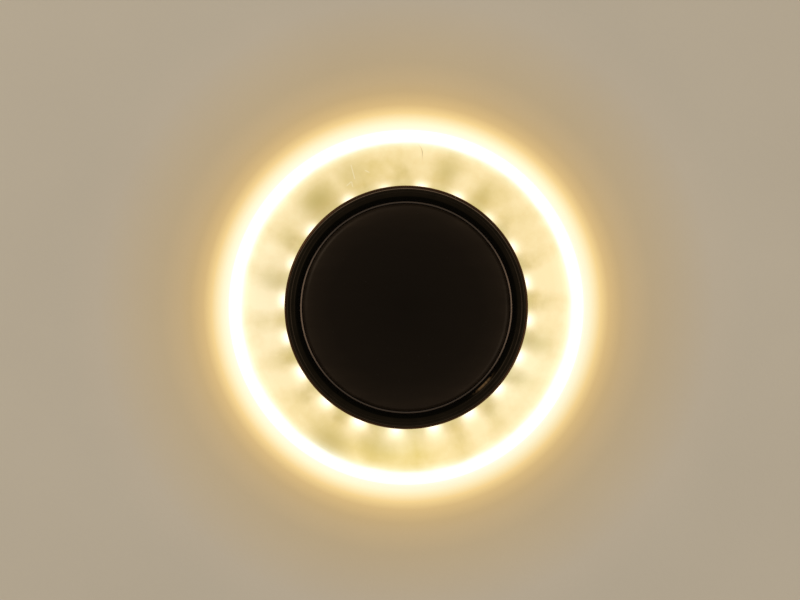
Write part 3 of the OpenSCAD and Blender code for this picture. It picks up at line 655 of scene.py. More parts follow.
@dataclass(frozen=True)
class StripFilm(Finish):
    """White film of the light strip, with two tracks and its cutting marks."""

    low: float = -7.0
    high: float = -2.0
    margin: float = 0.7
    pitch: float = CHIP_PITCH
    first: float = FIRST_CHIP
    track: Colour = (0.74, 0.66, 0.5)
    copper: Colour = (0.62, 0.33, 0.16)

    def dress(self, g: ShaderGraph) -> None:
        """Tracks along both edges and a copper mark halfway between chips.

        Args:
            g: The material's tree.
        """
        turns = g.over(g.minus(g.degrees, self.first - 360.0), self.pitch)
        off = g.math("ABSOLUTE", g.minus(g.math("FRACT", turns), 0.5))
        edge = g.higher(g.bell(g.z, self.low + self.margin, 0.35), g.bell(g.z, self.high - self.margin, 0.35))
        marks = g.times(g.step(off, 0.02, 0.03, 1.0, 0.0), g.step(edge, 0.5, 0.6))
        cloud = g.noise(g.place, 0.5, 3.0)
        tracks = g.mix(g.times(edge, 0.35), self.between(g, cloud, 0.92, 1.04), self.track)
        colour = g.mix(marks, tracks, self.copper)
        g.give(colour=colour, roughness=self.uneven(g, cloud, 0.3, 0.7, 0.0, 0.12))
        g.bump(edge, 0.03)


@dataclass(frozen=True)
class DarkPlating(Finish):
    """Black-brown bright plating over fine turned lines, with painted shade toward the bore, painted
    highlight lines, and a copper rim tone for the ring's glow reflected there.
    """

    bore: float = BEZEL_BORE
    rim: float = BEZEL_RIM
    face: float = BEZEL_FACE
    leak_angle: float = 45.0
    # Painted shade: tones from the bore to the rim, darkest where the groove round the lamp lies in shade.
    tones: Stops = ((0.0, 0.38), (0.17, 0.46), (0.32, 0.6), (0.56, 0.72), (0.68, 0.78), (0.8, 0.9))
    # Painted highlight colour of the lines on the face.
    highlight_tan: Colour = (0.22, 0.145, 0.09)
    # Painted reflection: the rim's copper tone tints its reflections like the ring's warm glow.
    copper: Colour = (0.045, 0.016, 0.005)
    # Painted glow: faint light given off all over the bezel.
    faint_glow: Colour = (0.0018, 0.0015, 0.0008)
    lamplight: Colour = (0.155, 0.088, 0.037)

    def dress(self, g: ShaderGraph) -> None:
        """Dark mirror with turned lines, painted shade toward the bore, painted highlight lines, a copper
        edge for the reflected glow, a faint painted glow, and lamplight that leaks in at one barb.

        Args:
            g: The material's tree.
        """
        lines = g.noise(g.circling(g.times(g.radius, 7.0)), 1.3, 4.0, 0.6)
        haze = g.noise(g.place, 0.25, 4.0, 0.6)
        share = g.over(g.minus(g.radius, self.bore), self.rim - self.bore)
        # Painted shade: darkest at the bore, lighter toward the rim.
        plain = self.toned(g, share, self.tones)
        mottle = g.step(g.line(haze, 0.6, g.times(lines, 0.4)), 0.3, 0.7, 0.8, 1.2)
        plain = g.mix(1.0, plain, g.grey(mottle), "MULTIPLY")
        # Painted highlights: two pale lines on the face.
        plain = g.mix(self.highlight_lines(g), plain, self.highlight_tan)
        # Painted reflection: the rim turns copper, the colour of the ring's glow reflected there.
        edge = g.step(g.radius, self.rim - 0.85, self.rim - 0.3)
        g.give(
            colour=g.mix(edge, plain, self.copper),
            roughness=self.uneven(g, haze, 0.3, 0.8, -0.05, 0.14),
            metal=1.0,
            light=g.mix(self.leak(g), self.faint_glow, self.lamplight),
            power=1.0,
        )
        g.bump(lines, 0.006)

    def highlight_lines(self, g: ShaderGraph) -> Socket:
        """Two painted highlight lines on the face: one round its upper half, a faint one at its sides.

        Args:
            g: The material's tree.

        Returns:
            Their strength.
        """
        upper = g.step(g.lower, -1.0, -0.2, 1.0, 0.2)
        side = g.step(g.math("ABSOLUTE", g.lower), 0.1, 0.9, 0.18, 0.036)
        outer = g.times(g.bell(g.radius, self.rim - 1.07, 0.14), upper)
        return g.higher(outer, g.times(g.bell(g.radius, self.rim - 2.25, 0.12), side))

    def leak(self, g: ShaderGraph) -> Socket:
        """The ring's light that comes through the skirt's slit, in streaks.

        Args:
            g: The material's tree.

        Returns:
            The light's strength, 0 to 1.
        """
        wall = g.step(g.radius, self.bore + 0.1, self.bore + 0.35, 1.0, 0.0)
        leak = g.times(g.bell(g.degrees, self.leak_angle, 4.6), wall)
        leak = g.times(leak, g.bell(g.z, self.face + 4.5, 4.5))
        streaks = g.step(g.noise(g.vector(g.degrees, 0.0, 0.0), 0.55, 3.0), 0.3, 0.7, 0.45, 1.15)
        return g.times(leak, streaks, clamp=True)


@dataclass(frozen=True)
class SmokedLens(Finish):
    """Unlit lens: nearly black brown, smooth, with painted shade at its middle and a painted sheen that makes
    it paler toward its rounded edge.
    """

    reach: float = LENS_RIM
    # Painted shade and sheen: tones by distance from the axis, darkest at the middle, palest at the rounded
    # edge.
    tones: Stops = ((0.0, 0.25), (0.5, 0.7), (0.72, 1.0), (0.88, 2.0), (0.95, 3.1), (1.0, 5.4))
    dust: Colour = (0.05, 0.042, 0.034)

    def dress(self, g: ShaderGraph) -> None:
        """A slow painted rise in tone toward the edge, for how light falls on the lens, with specks and faint
        wipe marks.

        Args:
            g: The material's tree.
        """
        wipe = g.noise(g.stretched((0.05, 0.22, 0.1)), 1.0, 4.0, 0.55)
        speck = g.step(g.noise(g.place, 1.7, 2.0), 0.73, 0.79)
        rise = g.line(g.minus(wipe, 0.5), 0.14, g.over(g.radius, self.reach))
        g.give(
            colour=g.mix(g.times(speck, 0.3), self.toned(g, rise, self.tones), self.dust),
            roughness=self.uneven(g, wipe, 0.2, 0.8, -0.02, 0.04),
            gloss=0.09,
            tint=(0.85, 0.62, 0.42),
        )
        g.bump(wipe, 0.01, 0.5)


@dataclass(frozen=True)
class Spot:
    """A soft spot on the plate: where it is, how far it reaches and what it adds."""

    angle: float
    out: float
    width: float
    depth: float = 5.2
    strength: float = 1.0
    colour: Colour = (0.0, 0.0, 0.0)


@dataclass(frozen=True)
class FrostedGlow(Finish):
    """Frosted plate lit through its bore by the strip's chips.

    Angles of the spots count on from the strip's joint, and distances outward from the bore.
    """

    bore: float = PLATE_BORE
    flat: float = PLATE_FLAT
    rim: float = PLATE_RIM
    front: float = PLATE_FRONT
    shoulder: float = PLATE_SHOULDER
    chips: int = CHIPS
    pitch: float = CHIP_PITCH
    joint: float = STRIP_JOINT
    first: float = FIRST_CHIP
    khaki: Colour = (0.44, 0.285, 0.035)
    cream: Colour = (0.69, 0.52, 0.27)
    olive: Colour = (0.215, 0.125, 0.0)
    # Larger olive shadows painted into the glow, the widest where the strip's ends meet.
    shadow_spots: tuple[Spot, ...] = (
        Spot(0.0, 7.0, 8.5, strength=0.9),
        Spot(17.0, 9.0, 7.0, strength=0.45),
        Spot(56.5, 8.0, 5.0, strength=0.6),
        Spot(74.0, 5.0, 4.0, strength=0.5),
        Spot(145.0, 5.0, 4.0, strength=0.45),
        Spot(249.0, 12.5, 9.0, strength=0.8),
        Spot(232.0, 9.0, 10.0, strength=0.5),
        Spot(320.5, 5.0, 4.5, strength=0.4),
    )
    washes: tuple[Spot, ...] = (
        Spot(314.6, 9.0, 34.0, 9.0, colour=(0.01, 0.045, 0.09)),
        Spot(159.6, 7.0, 22.0, 9.0, colour=(0.05, 0.09, 0.1)),
        Spot(222.0, 4.0, 14.0, 8.0, colour=(0.08, 0.11, 0.11)),
        Spot(228.0, 11.5, 26.0, 5.0, colour=(0.02, 0.01, -0.09)),
    )
    # Painted shade: where the base colour turns yellow olive beside the glow's shadows.
    shade_tint_spot: Spot = Spot(229.0, 11.5, 30.0, 6.0, colour=(0.41, 0.365, 0.13))
    gains: Gradient = (
        (42.2, (0.1, 0.13, 0.08)),
        (43.4, (0.07, 0.1, 0.07)),
        (44.6, (0.03, 0.045, 0.035)),
        (46.0, (0.0, 0.0, 0.0)),
        (53.0, (0.0, 0.0, 0.0)),
        (55.5, (0.04, 0.04, 0.04)),
        (57.0, (0.1, 0.13, 0.13)),
        (58.0, (0.16, 0.24, 0.3)),
        (59.0, (0.32, 0.4, 0.5)),
    )
    white: Colour = (1.0, 0.97, 0.84)
    dim: Colour = (0.52, 0.45, 0.29)
    hot: Colour = (0.9, 0.86, 0.8)
    hair_tone: Colour = (0.25, 0.16, 0.02)
    scratch_tone: Colour = (0.72, 0.66, 0.55)
    nicks: tuple[tuple[float, float, float, float], ...] = (
        (-18.2, -45.4, -19.6, -50.6),
        (-21.2, -43.0, -19.4, -44.6),
        (-19.4, -44.6, -18.9, -42.6),
        (-13.0, -47.8, -14.6, -48.6),
    )

    def dress(self, g: ShaderGraph) -> None:
        """A pale frosted ground with a hair mark and scratches, painted shade that tints it yellow olive
        where the glow's shadows fall, and the light that comes out of it.

        Args:
            g: The material's tree.
        """
        turned = g.math("FLOORED_MODULO", g.minus(g.degrees, self.joint), 360.0)
        out = g.higher(g.minus(g.radius, self.bore), 0.0)
        turns = g.over(g.minus(turned, self.first - self.joint), self.pitch)
        chip = g.higher(g.math("MINIMUM", g.math("ROUND", turns), self.chips - 1.0), 0.0)
        off = g.math("ABSOLUTE", g.minus(turns, chip))
        off = g.times(off, g.times(g.radius, math.radians(self.pitch)))
        shadow = self.shadows(g, out, off, turned)
        cloud = g.noise(g.place, 0.07, 3.0)

        chance = g.add("ShaderNodeTexWhiteNoise", {"W": chip}, noise_dimensions="1D").outputs[0]
        power = g.times(g.line(chance, 0.4, 0.74), g.line(g.lower, 0.14, 1.0))
        lit = g.mix(self.fans(g, off, out, power), self.khaki, self.cream)
        lit = g.mix(shadow, lit, self.olive)
        for wash in self.washes:
            lit = g.mix(self.spot(g, turned, out, wash), lit, wash.colour, "ADD")
        core = g.times(self.cores(g, off, out), power)
        lit = g.mix(1.0, lit, g.mix(1.0, self.hot, g.grey(core), "MULTIPLY"), "ADD")
        lit = self.rims(g, lit, out, cloud)

        grain = g.noise(g.place, 2.2, 4.0, 0.6)
        front = g.step(g.z, self.front + 0.2, self.front + 0.6, 1.0, 0.0)
        hair = g.times(self.hair(g), front)
        scratch = g.times(self.scratches(g), front)
        ground = self.between(g, g.line(grain, 0.3, g.times(cloud, 0.7)), 0.95, 1.03)
        # Painted shade: the base colour turns yellow olive where the glow's shadows fall.
        shade_tint_share = g.higher(g.times(shadow, 0.7), self.spot(g, turned, out, self.shade_tint_spot))
        ground = g.mix(shade_tint_share, ground, self.shade_tint_spot.colour)
        lit = g.mix(g.times(hair, 0.6), lit, self.hair_tone)
        g.give(
            colour=g.mix(hair, ground, tuple(c * 0.55 for c in self.colour)),
            light=g.mix(g.times(scratch, 0.4), lit, self.scratch_tone),
            power=1.0,
            roughness=self.uneven(g, grain, 0.2, 0.8, -0.05, 0.1),
            gloss=0.3,
        )
        g.bump(g.minus(grain, g.higher(hair, scratch)), 0.012)

    def rims(self, g: ShaderGraph, lit: Socket, out: Socket, cloud: Socket) -> Socket:
        """The glow with what it gains at the bore and toward the rim, and its white bevel.

        Args:
            g: The material's tree.
            lit: The glow of the flat face.
            out: Distance outward from the bore.
            cloud: Slow noise that makes the white edge wavy.

        Returns:
            The glow of the whole plate.
        """
        reach = self.rim - self.bore
        stops = [((at - self.bore) / reach, colour) for at, colour in self.gains]
        lit = g.mix(1.0, lit, g.ramp(g.over(out, reach), stops), "ADD")
        wavy = g.line(g.minus(cloud, 0.5), 1.6, g.radius)
        lit = g.mix(g.step(wavy, self.flat - 0.35, self.flat + 1.0), lit, self.white)
        return g.mix(g.step(g.z, self.shoulder - 0.6, -1.4), lit, self.dim)

    def cores(self, g: ShaderGraph, off: Socket, out: Socket) -> Socket:
        """The white-hot spot in front of each chip."""
        core = g.bell(off, 0.0, g.line(out, 0.3, 2.05))
        return g.times(core, g.bell(out, 0.0, g.line(g.lower, 0.65, 2.8)))

    def fans(self, g: ShaderGraph, off: Socket, out: Socket, power: Socket) -> Socket:
        """The cream share of the glow: a fan that widens outward from each chip.

        Args:
            g: The material's tree.
            off: Distance sideways from the nearest chip's line.
            out: Distance outward from the bore.
            power: The chip's own strength.

        Returns:
            The share, 0 to 1.
        """
        fan = g.bell(off, 0.0, g.line(out, 0.4, 2.7))
        fan = g.times(fan, g.math("EXPONENT", g.over(out, -15.0)))
        fan = g.times(fan, g.line(power, 1.6, -0.6))
        sides = g.times(g.times(g.x, g.x), 0.3 / self.flat**2)
        patch = g.line(g.noise(g.place, 0.09, 4.0, 0.62), 1.5, -0.64)
        return g.plus(g.plus(fan, sides), g.plus(patch, g.times(out, 0.012)), clamp=True)

    def shadows(self, g: ShaderGraph, out: Socket, off: Socket, turned: Socket) -> Socket:
        """Olive shadows between the fans, and a few larger ones, the widest where the strip's ends meet.

        Args:
            g: The material's tree.
            out: Distance outward from the bore.
            off: Distance sideways from the nearest chip's line.
            turned: Angle past the strip's joint.

        Returns:
            The shadow's strength.
        """
        between = g.step(off, 2.2, 6.4)
        patch = g.step(g.noise(g.place, 0.11, 3.0, 0.55), 0.38, 0.66)
        shadow = g.times(g.times(between, g.bell(out, 4.2, 4.0)), g.times(patch, 0.42))
        for shadow_spot in self.shadow_spots:
            shadow = g.higher(shadow, g.times(self.spot(g, turned, out, shadow_spot), shadow_spot.strength))
        return shadow

    def spot(self, g: ShaderGraph, turned: Socket, out: Socket, where: Spot) -> Socket:
        """How near the surface is to a spot, 1 in its middle."""
        away = g.minus(g.math("FLOORED_MODULO", g.plus(turned, 180.0 - where.angle), 360.0), 180.0)
        return g.times(g.bell(away, 0.0, where.width), g.bell(out, where.out, where.depth))

    def hair(self, g: ShaderGraph) -> Socket:
        """One hooked hair mark on the plate's front."""
        hook = g.math("POWER", g.higher(g.minus(-54.6, g.y), 0.0), 2.0)
        return g.times(g.bell(g.x, g.line(hook, -0.14, 5.75), 0.17), g.bell(g.y, -55.0, 1.9))

    def scratches(self, g: ShaderGraph) -> Socket:
        """Fine scratches on the plate's front, which catch the light.

        Args:
            g: The material's tree.

        Returns:
            Their strength.
        """
        marks = 0.0
        for ax, ay, bx, by in self.nicks:
            length = math.hypot(bx - ax, by - ay)
            ux, uy = (bx - ax) / length, (by - ay) / length
            along = g.line(g.x, ux, g.line(g.y, uy, -ax * ux - ay * uy))
            across = g.line(g.x, -uy, g.line(g.y, ux, ax * uy - ay * ux))
            ends = g.times(g.step(along, -0.2, 0.4), g.step(along, length - 0.4, length + 0.2, 1.0, 0.0))
            marks = g.higher(marks, g.times(g.bell(across, 0.0, 0.14), ends))
        return marks


@dataclass(frozen=True)
class Phosphor(Finish):
    """Yellow phosphor fill of a light chip."""

    light: float = 0.0
    glow: Gradient = ((0.2, (1.0, 0.8, 0.42)), (0.8, (1.0, 0.93, 0.7)))

    def dress(self, g: ShaderGraph) -> None:
        """Grainy gel, with its own light where the chip is on.

        Args:
            g: The material's tree.
        """
        grain = g.noise(g.place, 6.0, 3.0, 0.6)
        colour = self.between(g, grain, 0.85, 1.08)
        g.give(colour=colour, roughness=self.uneven(g, grain, 0.2, 0.8, 0.0, 0.15))
        if self.light:
            g.give(light=g.ramp(grain, self.glow), power=self.light)
        g.bump(grain, 0.02)


@dataclass(frozen=True)
class CeilingPaint(Finish):
    """Rolled ceiling paint with the ring's halo on it. Only the room side shows."""

    rim: float = PLATE_RIM
    reach: float = 60.0
    # Painted warm light: the ceiling's colour tinted by the ring's light, warmest beside the rim.
    halo_tint: Gradient = (
        (0.0, (1.0, 0.9, 0.6)),
        (0.12, (1.0, 0.86, 0.5)),
        (0.3, (1.0, 0.92, 0.72)),
        (0.8, (1.0, 1.0, 1.0)),
    )
    halo: Gradient = (
        (0.0, (0.75, 0.78, 0.75)),
        (0.02, (0.68, 0.68, 0.6)),
        (0.045, (0.62, 0.63, 0.5)),
        (0.075, (0.57, 0.51, 0.33)),
        (0.11, (0.47, 0.34, 0.15)),
        (0.16, (0.24, 0.15, 0.06)),
        (0.24, (0.11, 0.06, 0.02)),
        (0.42, (0.035, 0.016, 0.004)),
        (1.0, (0.0, 0.0, 0.0)),
    )

    def dress(self, g: ShaderGraph) -> None:
        """Roller stipple, and a painted warm halo, in the colour and as light, that fades outward.

        Args:
            g: The material's tree.
        """
        stipple = g.noise(g.place, 0.9, 4.0, 0.6)
        patch = g.noise(g.place, 0.012, 3.0)
        plain = self.between(g, g.line(patch, 0.8, g.times(stipple, 0.2)), 0.97, 1.02)
        share = g.over(g.minus(g.radius, self.rim), self.reach)
        g.give(
            colour=g.mix(1.0, plain, g.ramp(share, self.halo_tint), "MULTIPLY"),
            light=g.ramp(share, self.halo),
            power=1.0,
            roughness=self.uneven(g, stipple, 0.2, 0.8, -0.05, 0.05),
            gloss=0.2,
        )
        g.bump(stipple, 0.12, 0.6)
        clear = g.add("ShaderNodeBsdfTransparent").outputs[0]
        front = g.minus(1.0, g.add("ShaderNodeNewGeometry").outputs["Backfacing"])
        seen = g.times(front, g.add("ShaderNodeLightPath").outputs["Is Camera Ray"])
        mixed = g.add("ShaderNodeMixShader", {0: seen, 1: clear, 2: g.shader.outputs[0]})
        g.feed(g.output.inputs["Surface"], mixed.outputs[0])


ZINC = Metal("zinc_sheet", (0.6, 0.61, 0.63), 0.36, spangle=0.22, relief=0.01)
ZINC_PRESSED = Metal(
    "zinc_pressing", (0.64, 0.65, 0.67), 0.32, Grain.TURNED, spangle=0.1, shade_inside=39.75
)
FASTENER = Metal("zinc_fastener", (0.72, 0.73, 0.75), 0.26, relief=0.006)
CLIP_STEEL = Metal("clip_steel_sheet", (0.68, 0.69, 0.71), 0.28, Grain.ALONG_X, relief=0.01)
BRACKET_STEEL = Metal("bracket_steel_sheet", (0.66, 0.67, 0.69), 0.3, Grain.ALONG_Z, relief=0.01)
WIRE = Metal("drawn_wire", (0.5, 0.51, 0.53), 0.24, Grain.ALONG_Y, relief=0.006)
BRASS = Metal("contact_strip_brass", (0.76, 0.54, 0.24), 0.3, Grain.ALONG_X, relief=0.01)
TURNED_BRASS = Metal("turned_brass", (0.74, 0.53, 0.25), 0.28, Grain.ALONG_Y)
NICKEL = Metal("nickel_pin", (0.7, 0.67, 0.61), 0.2, relief=0.006)
WHITE = Moulding("white_heatproof_moulding", (0.74, 0.73, 0.69), 0.48)
POLYAMIDE = Moulding("cream_polyamide", (0.7, 0.68, 0.6), 0.42, grain_scale=3.2, relief=0.015)
DRIVER_WHITE = Moulding("driver_box_plastic", (0.78, 0.78, 0.77), 0.4, grain_scale=3.4, relief=0.028)
CASE = LampCase(
    "brown_black_lamp_case", (0.019, 0.0135, 0.0085), 0.42, grain_scale=3.0, relief=0.018, gloss=0.14
)
BLACK_RUBBER = Rubber("black_rubber_grommet", (0.02, 0.02, 0.021), 0.62)
SILICONE = Rubber("grey_silicone_pad", (0.035, 0.035, 0.037), 0.6)
BOARD = Laminate("green_board", (0.035, 0.16, 0.055), 0.4)
LAMP_BOARD = Laminate(
    "white_metal_board", (0.74, 0.74, 0.72), 0.42, track=(0.62, 0.62, 0.6), pad=(0.7, 0.6, 0.42), scale=0.14
)
FILM = StripFilm("white_strip_film", (0.8, 0.8, 0.77), 0.4)
PLATING = DarkPlating("dark_turned_plating", (0.0118, 0.0078, 0.0045), 0.24)
LENS = SmokedLens("unlit_dark_lens", (0.0033, 0.0021, 0.0012), 0.34)
GLOW = FrostedGlow("lit_frosted_plate", (0.42, 0.385, 0.23), 0.46)
CHIP_ON = Phosphor("phosphor_lit", (0.85, 0.62, 0.16), 0.4, light=1.6)
CHIP_OFF = Phosphor("phosphor_unlit", (0.85, 0.62, 0.14), 0.4)
CHIP_CASE = Moulding("chip_case_white", (0.78, 0.76, 0.7), 0.4, grain_scale=8.0, relief=0.01)
RESISTOR = Moulding("resistor_black", (0.022, 0.022, 0.024), 0.35, grain_scale=8.0, relief=0.01)
PAINT = CeilingPaint("ceiling_paint", (0.53, 0.45, 0.335), 0.75)


# Meshes


def around(r: float, degrees: float, z: float = 0.0) -> Point:
    """The point at a distance and an angle round the Z axis."""
    return (r * math.cos(math.radians(degrees)), r * math.sin(math.radians(degrees)), z)


def arc(cx: float, cy: float, r: float, a0: float, a1: float, n: int = 8) -> Profile:
    """Points on an arc.

    Args:
        cx: The middle's first coordinate.
        cy: The middle's second coordinate.
        r: The radius.
        a0: The first angle.
        a1: The last angle.
        n: The number of steps.

    Returns:
        The n + 1 points.
    """
    spots = [around(r, a0 + (a1 - a0) * i / n) for i in range(n + 1)]
    return [(cx + x, cy + y) for x, y, _ in spots]


def circle(r: float, z: float, n: int = 24) -> list[Point]:
    """A ring of n points round the Z axis."""
    return [around(r, 360.0 * k / n, z) for k in range(n)]


def circles(section: Profile, n: int = 24) -> Rings:
    """A ring of n points for each radius and height of a section."""
    return [circle(r, z, n) for r, z in section]


def hexagon(r: float, z: float, n: int = 24) -> list[Point]:
    """A ring of points on a hexagon.

    Args:
        r: The distance of its corners.
        z: Its height.
        n: The number of points.

    Returns:
        The points.
    """
    flat = r * math.cos(math.radians(30.0))
    angles = [360.0 * k / n for k in range(n)]
    return [around(flat / math.cos(math.radians(a % 60.0 - 30.0)), a, z) for a in angles]


def cross(arm: float, half: float, z: float) -> list[Point]:
    """A ring of points on a cross of four arms.

    Args:
        arm: The reach of an arm.
        half: Half its width.
        z: The height.

    Returns:
        The 24 points.
    """
    middle = (arm + half) / 2
    quarter = [(arm, 0.0), (arm, half), (middle, half), (half, half), (half, middle), (half, arm)]
    turns = ((1, 0), (0, 1), (-1, 0), (0, -1))
    return [(x * c - y * s, x * s + y * c, z) for c, s in turns for x, y in quarter]


def slot_ring(length: float, half: float, z: float) -> list[Point]:
    """A ring of 24 points on a long slot, from half its length and half its width."""
    unit = [(max(-1.0, min(1.0, x * 1.3)), max(-1.0, min(1.0, y * 3.0))) for x, y, _ in circle(1.0, z)]
    return [(length * x, half * y, z) for x, y in unit]


def threaded(crest: float, root: float, low: float, high: float, turns: int) -> Profile:
    """Section of a threaded shank, with crests and roots by turns.

    Args:
        crest: The radius of a crest.
        root: The radius of a root.
        low: Where the thread starts.
        high: Where it ends.
        turns: The number of crests.

    Returns:
        The section.
    """
    half = (high - low) * 0.5 / turns
    section = [(root, low)]
    for i in range(turns):
        z = low + half * (2 * i + 1)
        section += [(crest, z), (root, z + half)]
    return section


def cross_head(r: float, h: float, z: float) -> Rings:
    """Rings of a pan head with a cross recess, facing +Z.

    Args:
        r: Its radius.
        h: Its height.
        z: The height of its underside.

    Returns:
        Rings of 24 points.
    """
    corner = h * 0.6
    rings = circles([(r - 0.08, z), (r, z + 0.08)] + arc(r - corner, z + h - corner, corner, 0, 78, 6))
    arm, half = r * 0.56, r * 0.13
    recess = ((1.0, 1.0, 1.0), (0.8, 0.8, 0.62), (0.42, 0.7, 0.45))
    return rings + [cross(arm * reach, half * width, z + h * height) for reach, width, height in recess]


def plain_mesh(
    name: str,
    points: Iterable[Point],
    faces: Iterable[Sequence[int]] = (),
    edges: Iterable[Sequence[int]] = (),
) -> Mesh:
    """A mesh from points in millimetres.

    Args:
        name: The mesh's name.
        points: Its points.
        faces: The points of each face.
        edges: The points of each loose edge.

    Returns:
        The mesh.
    """
    mesh = bpy.data.meshes.new(name)
    mesh.from_pydata([Vector(p) * MM for p in points], list(edges), list(faces))
    mesh.update()
    return mesh


def polyline(name: str, points: Sequence[Point]) -> Mesh:
    """A line of edges through points."""
    return plain_mesh(name, points, edges=[(i, i + 1) for i in range(len(points) - 1)])


def volume(mesh: Mesh) -> float:
    """Signed volume of a closed mesh.

    Args:
        mesh: The mesh.

    Returns:
        The volume, positive where the faces point outward.
    """
    mesh.calc_loop_triangles()
    corners = np.zeros(len(mesh.vertices) * 3)
    mesh.vertices.foreach_get("co", corners)
    index = np.zeros(len(mesh.loop_triangles) * 3, dtype=int)
    mesh.loop_triangles.foreach_get("vertices", index)
    a, b, c = corners.reshape(-1, 3)[index.reshape(-1, 3)].swapaxes(0, 1)
    return float(np.einsum("ij,ij->i", a, np.cross(b, c)).sum() / 6)


def outward(mesh: Mesh) -> Mesh:
    """Turns a closed mesh's faces outward where they point in.

    Args:
        mesh: The mesh.

    Returns:
        The same mesh.
    """
    if volume(mesh) < 0:
        mesh.flip_normals()
    return mesh


def bands(n: int, count: int, closed: bool = False) -> list[tuple[int, ...]]:
    """The faces between rings of points, from each ring to the next.

    Args:
        n: The number of points in a ring.
        count: The number of rings.
        closed: True to join the last ring to the first.

    Returns:
        The four points of each face.
    """
    return [
        (i * n + k, i * n + (k + 1) % n, (i + 1) % count * n + (k + 1) % n, (i + 1) % count * n + k)
        for i in range(count if closed else count - 1)
        for k in range(n)
    ]


def loft(name: str, rings: Sequence[Sequence[Point]], closed: bool = False) -> Mesh:
    """Joins rings of points with faces.

    Args:
        name: The mesh's name.
        rings: Rings with the same number of points.
        closed: True to join the last ring to the first, False to cap both.

    Returns:
        The closed mesh.
    """
    n, count = len(rings[0]), len(rings)
    faces = bands(n, count, closed)
    if not closed:
        faces += [tuple(reversed(range(n))), tuple(range((count - 1) * n, count * n))]
    return outward(plain_mesh(name, [p for ring in rings for p in ring], faces))


def lathe(name: str, section: Profile, segments: int = 24) -> Mesh:
    """A small turned solid from its section, both ends flat."""
    return loft(name, circles(section, segments))


def from_shape(name: str, shape: Shape) -> Mesh:
    """A mesh from a shape, which is used up.

    Args:
        name: The mesh's name.
        shape: The shape.

    Returns:
        The mesh.
    """
    mesh = bpy.data.meshes.new(name)
    shape.to_mesh(mesh)
    shape.free()
    return mesh


def rounded_box(name: str, low: Point, high: Point, radius: float, dish: float = 0.0) -> Mesh:
    """A box with rounded edges, and a dish in its +X face where one is asked for.

    Args:
        name: The mesh's name.
        low: Its lowest corner.
        high: Its highest corner.
        radius: The rounding.
        dish: The dish's depth.

    Returns:
        The mesh.
    """
    shape = bmesh.new()
    bmesh.ops.create_cube(shape, size=1.0)
    size = Vector(high) - Vector(low)
    middle = (Vector(high) + Vector(low)) / 2
    for vert in shape.verts:
        vert.co = Vector(c * s for c, s in zip(vert.co, size)) + middle
    edges = list(shape.edges)
    bmesh.ops.bevel(shape, geom=edges, offset=radius, segments=2, profile=0.5, affect="EDGES")
    if dish:
        shape.faces.ensure_lookup_table()
        top = max(shape.faces, key=lambda f: (round(f.normal.x, 3), f.calc_area()))
        bmesh.ops.inset_region(shape, faces=[top], thickness=min(size.y, size.z) * 0.11)
        for vert in top.verts:
            vert.co.x -= dish
    bmesh.ops.scale(shape, vec=(MM, MM, MM), verts=shape.verts)
    return outward(from_shape(name, shape))


def join(name: str, meshes: Sequence[Mesh]) -> Mesh:
    """Several meshes as one, which are used up.

    Args:
        name: The new mesh's name.
        meshes: The meshes.

    Returns:
        The new mesh.
    """
    shape = bmesh.new()
    for mesh in meshes:
        shape.from_mesh(mesh)
        bpy.data.meshes.remove(mesh)
    return from_shape(name, shape)


def in_scene(name: str, data: bpy.types.ID) -> Object:
    """A new object in the scene.

    Args:
        name: Its name.
        data: Its mesh, light or camera.

    Returns:
        The object.
    """
    made = bpy.data.objects.new(name, data)
    bpy.context.scene.collection.objects.link(made)
    return made


def discard(*spent: Object) -> None:
    """Removes objects with their meshes.

    Args:
        *spent: The objects.
    """
    for made in spent:
        mesh = made.data
        bpy.data.objects.remove(made)
        bpy.data.meshes.remove(mesh)


def piece(name: str, mesh: Mesh, finish: Finish, smooth: float = 32.0) -> Object:
    """Puts a finished mesh into the scene.

    Args:
        name: The piece's name.
        mesh: Its mesh, in place.
        finish: Its finish.
        smooth: The angle past which an edge stays sharp.

    Returns:
        The new object.
    """
    mesh.name = name
    mesh.materials.clear()
    mesh.materials.append(finish.material())
    mesh.shade_smooth()
    mesh.set_sharp_from_angle(angle=math.radians(smooth))
    return in_scene(name, mesh)


def formed(
    name: str,
    recipe: Recipe,
    source: Mesh,
    finish: Finish,
    smooth: float = 32.0,
    copy: Mesh | None = None,
    **sizes: object,
) -> Object:
    """Runs a geometry tree once and keeps its result as a plain mesh.

    Args:
        name: The piece's name.
        recipe: The tree.
        source: The mesh that the tree starts from.
        finish: The piece's finish.
        smooth: The angle past which an edge stays sharp.
        copy: The mesh that is repeated, where the tree repeats one.
        **sizes: The tree's named inputs.

    Returns:
        The new object.
    """
    tree = recipe.tree()
    helpers = [in_scene(name + "_carrier", source)]
    sizes["Finish"] = finish.material()
    if copy:
        helpers.append(in_scene(name + "_pattern", copy))
        sizes["Piece"] = helpers[1]
    modifier = helpers[0].modifiers.new("form", "NODES")
    modifier.node_group = tree
    for item in tree.interface.items_tree:
        if item.item_type == "SOCKET" and item.in_out == "INPUT" and item.name in sizes:
            modifier[item.identifier] = sizes[item.name]
    depsgraph = bpy.context.evaluated_depsgraph_get()
    mesh = bpy.data.meshes.new_from_object(helpers[0].evaluated_get(depsgraph), depsgraph=depsgraph)
    discard(*helpers)
    if "turn" in mesh.attributes:
        mesh.attributes.remove(mesh.attributes["turn"])
    return piece(name, outward(mesh), finish, smooth)


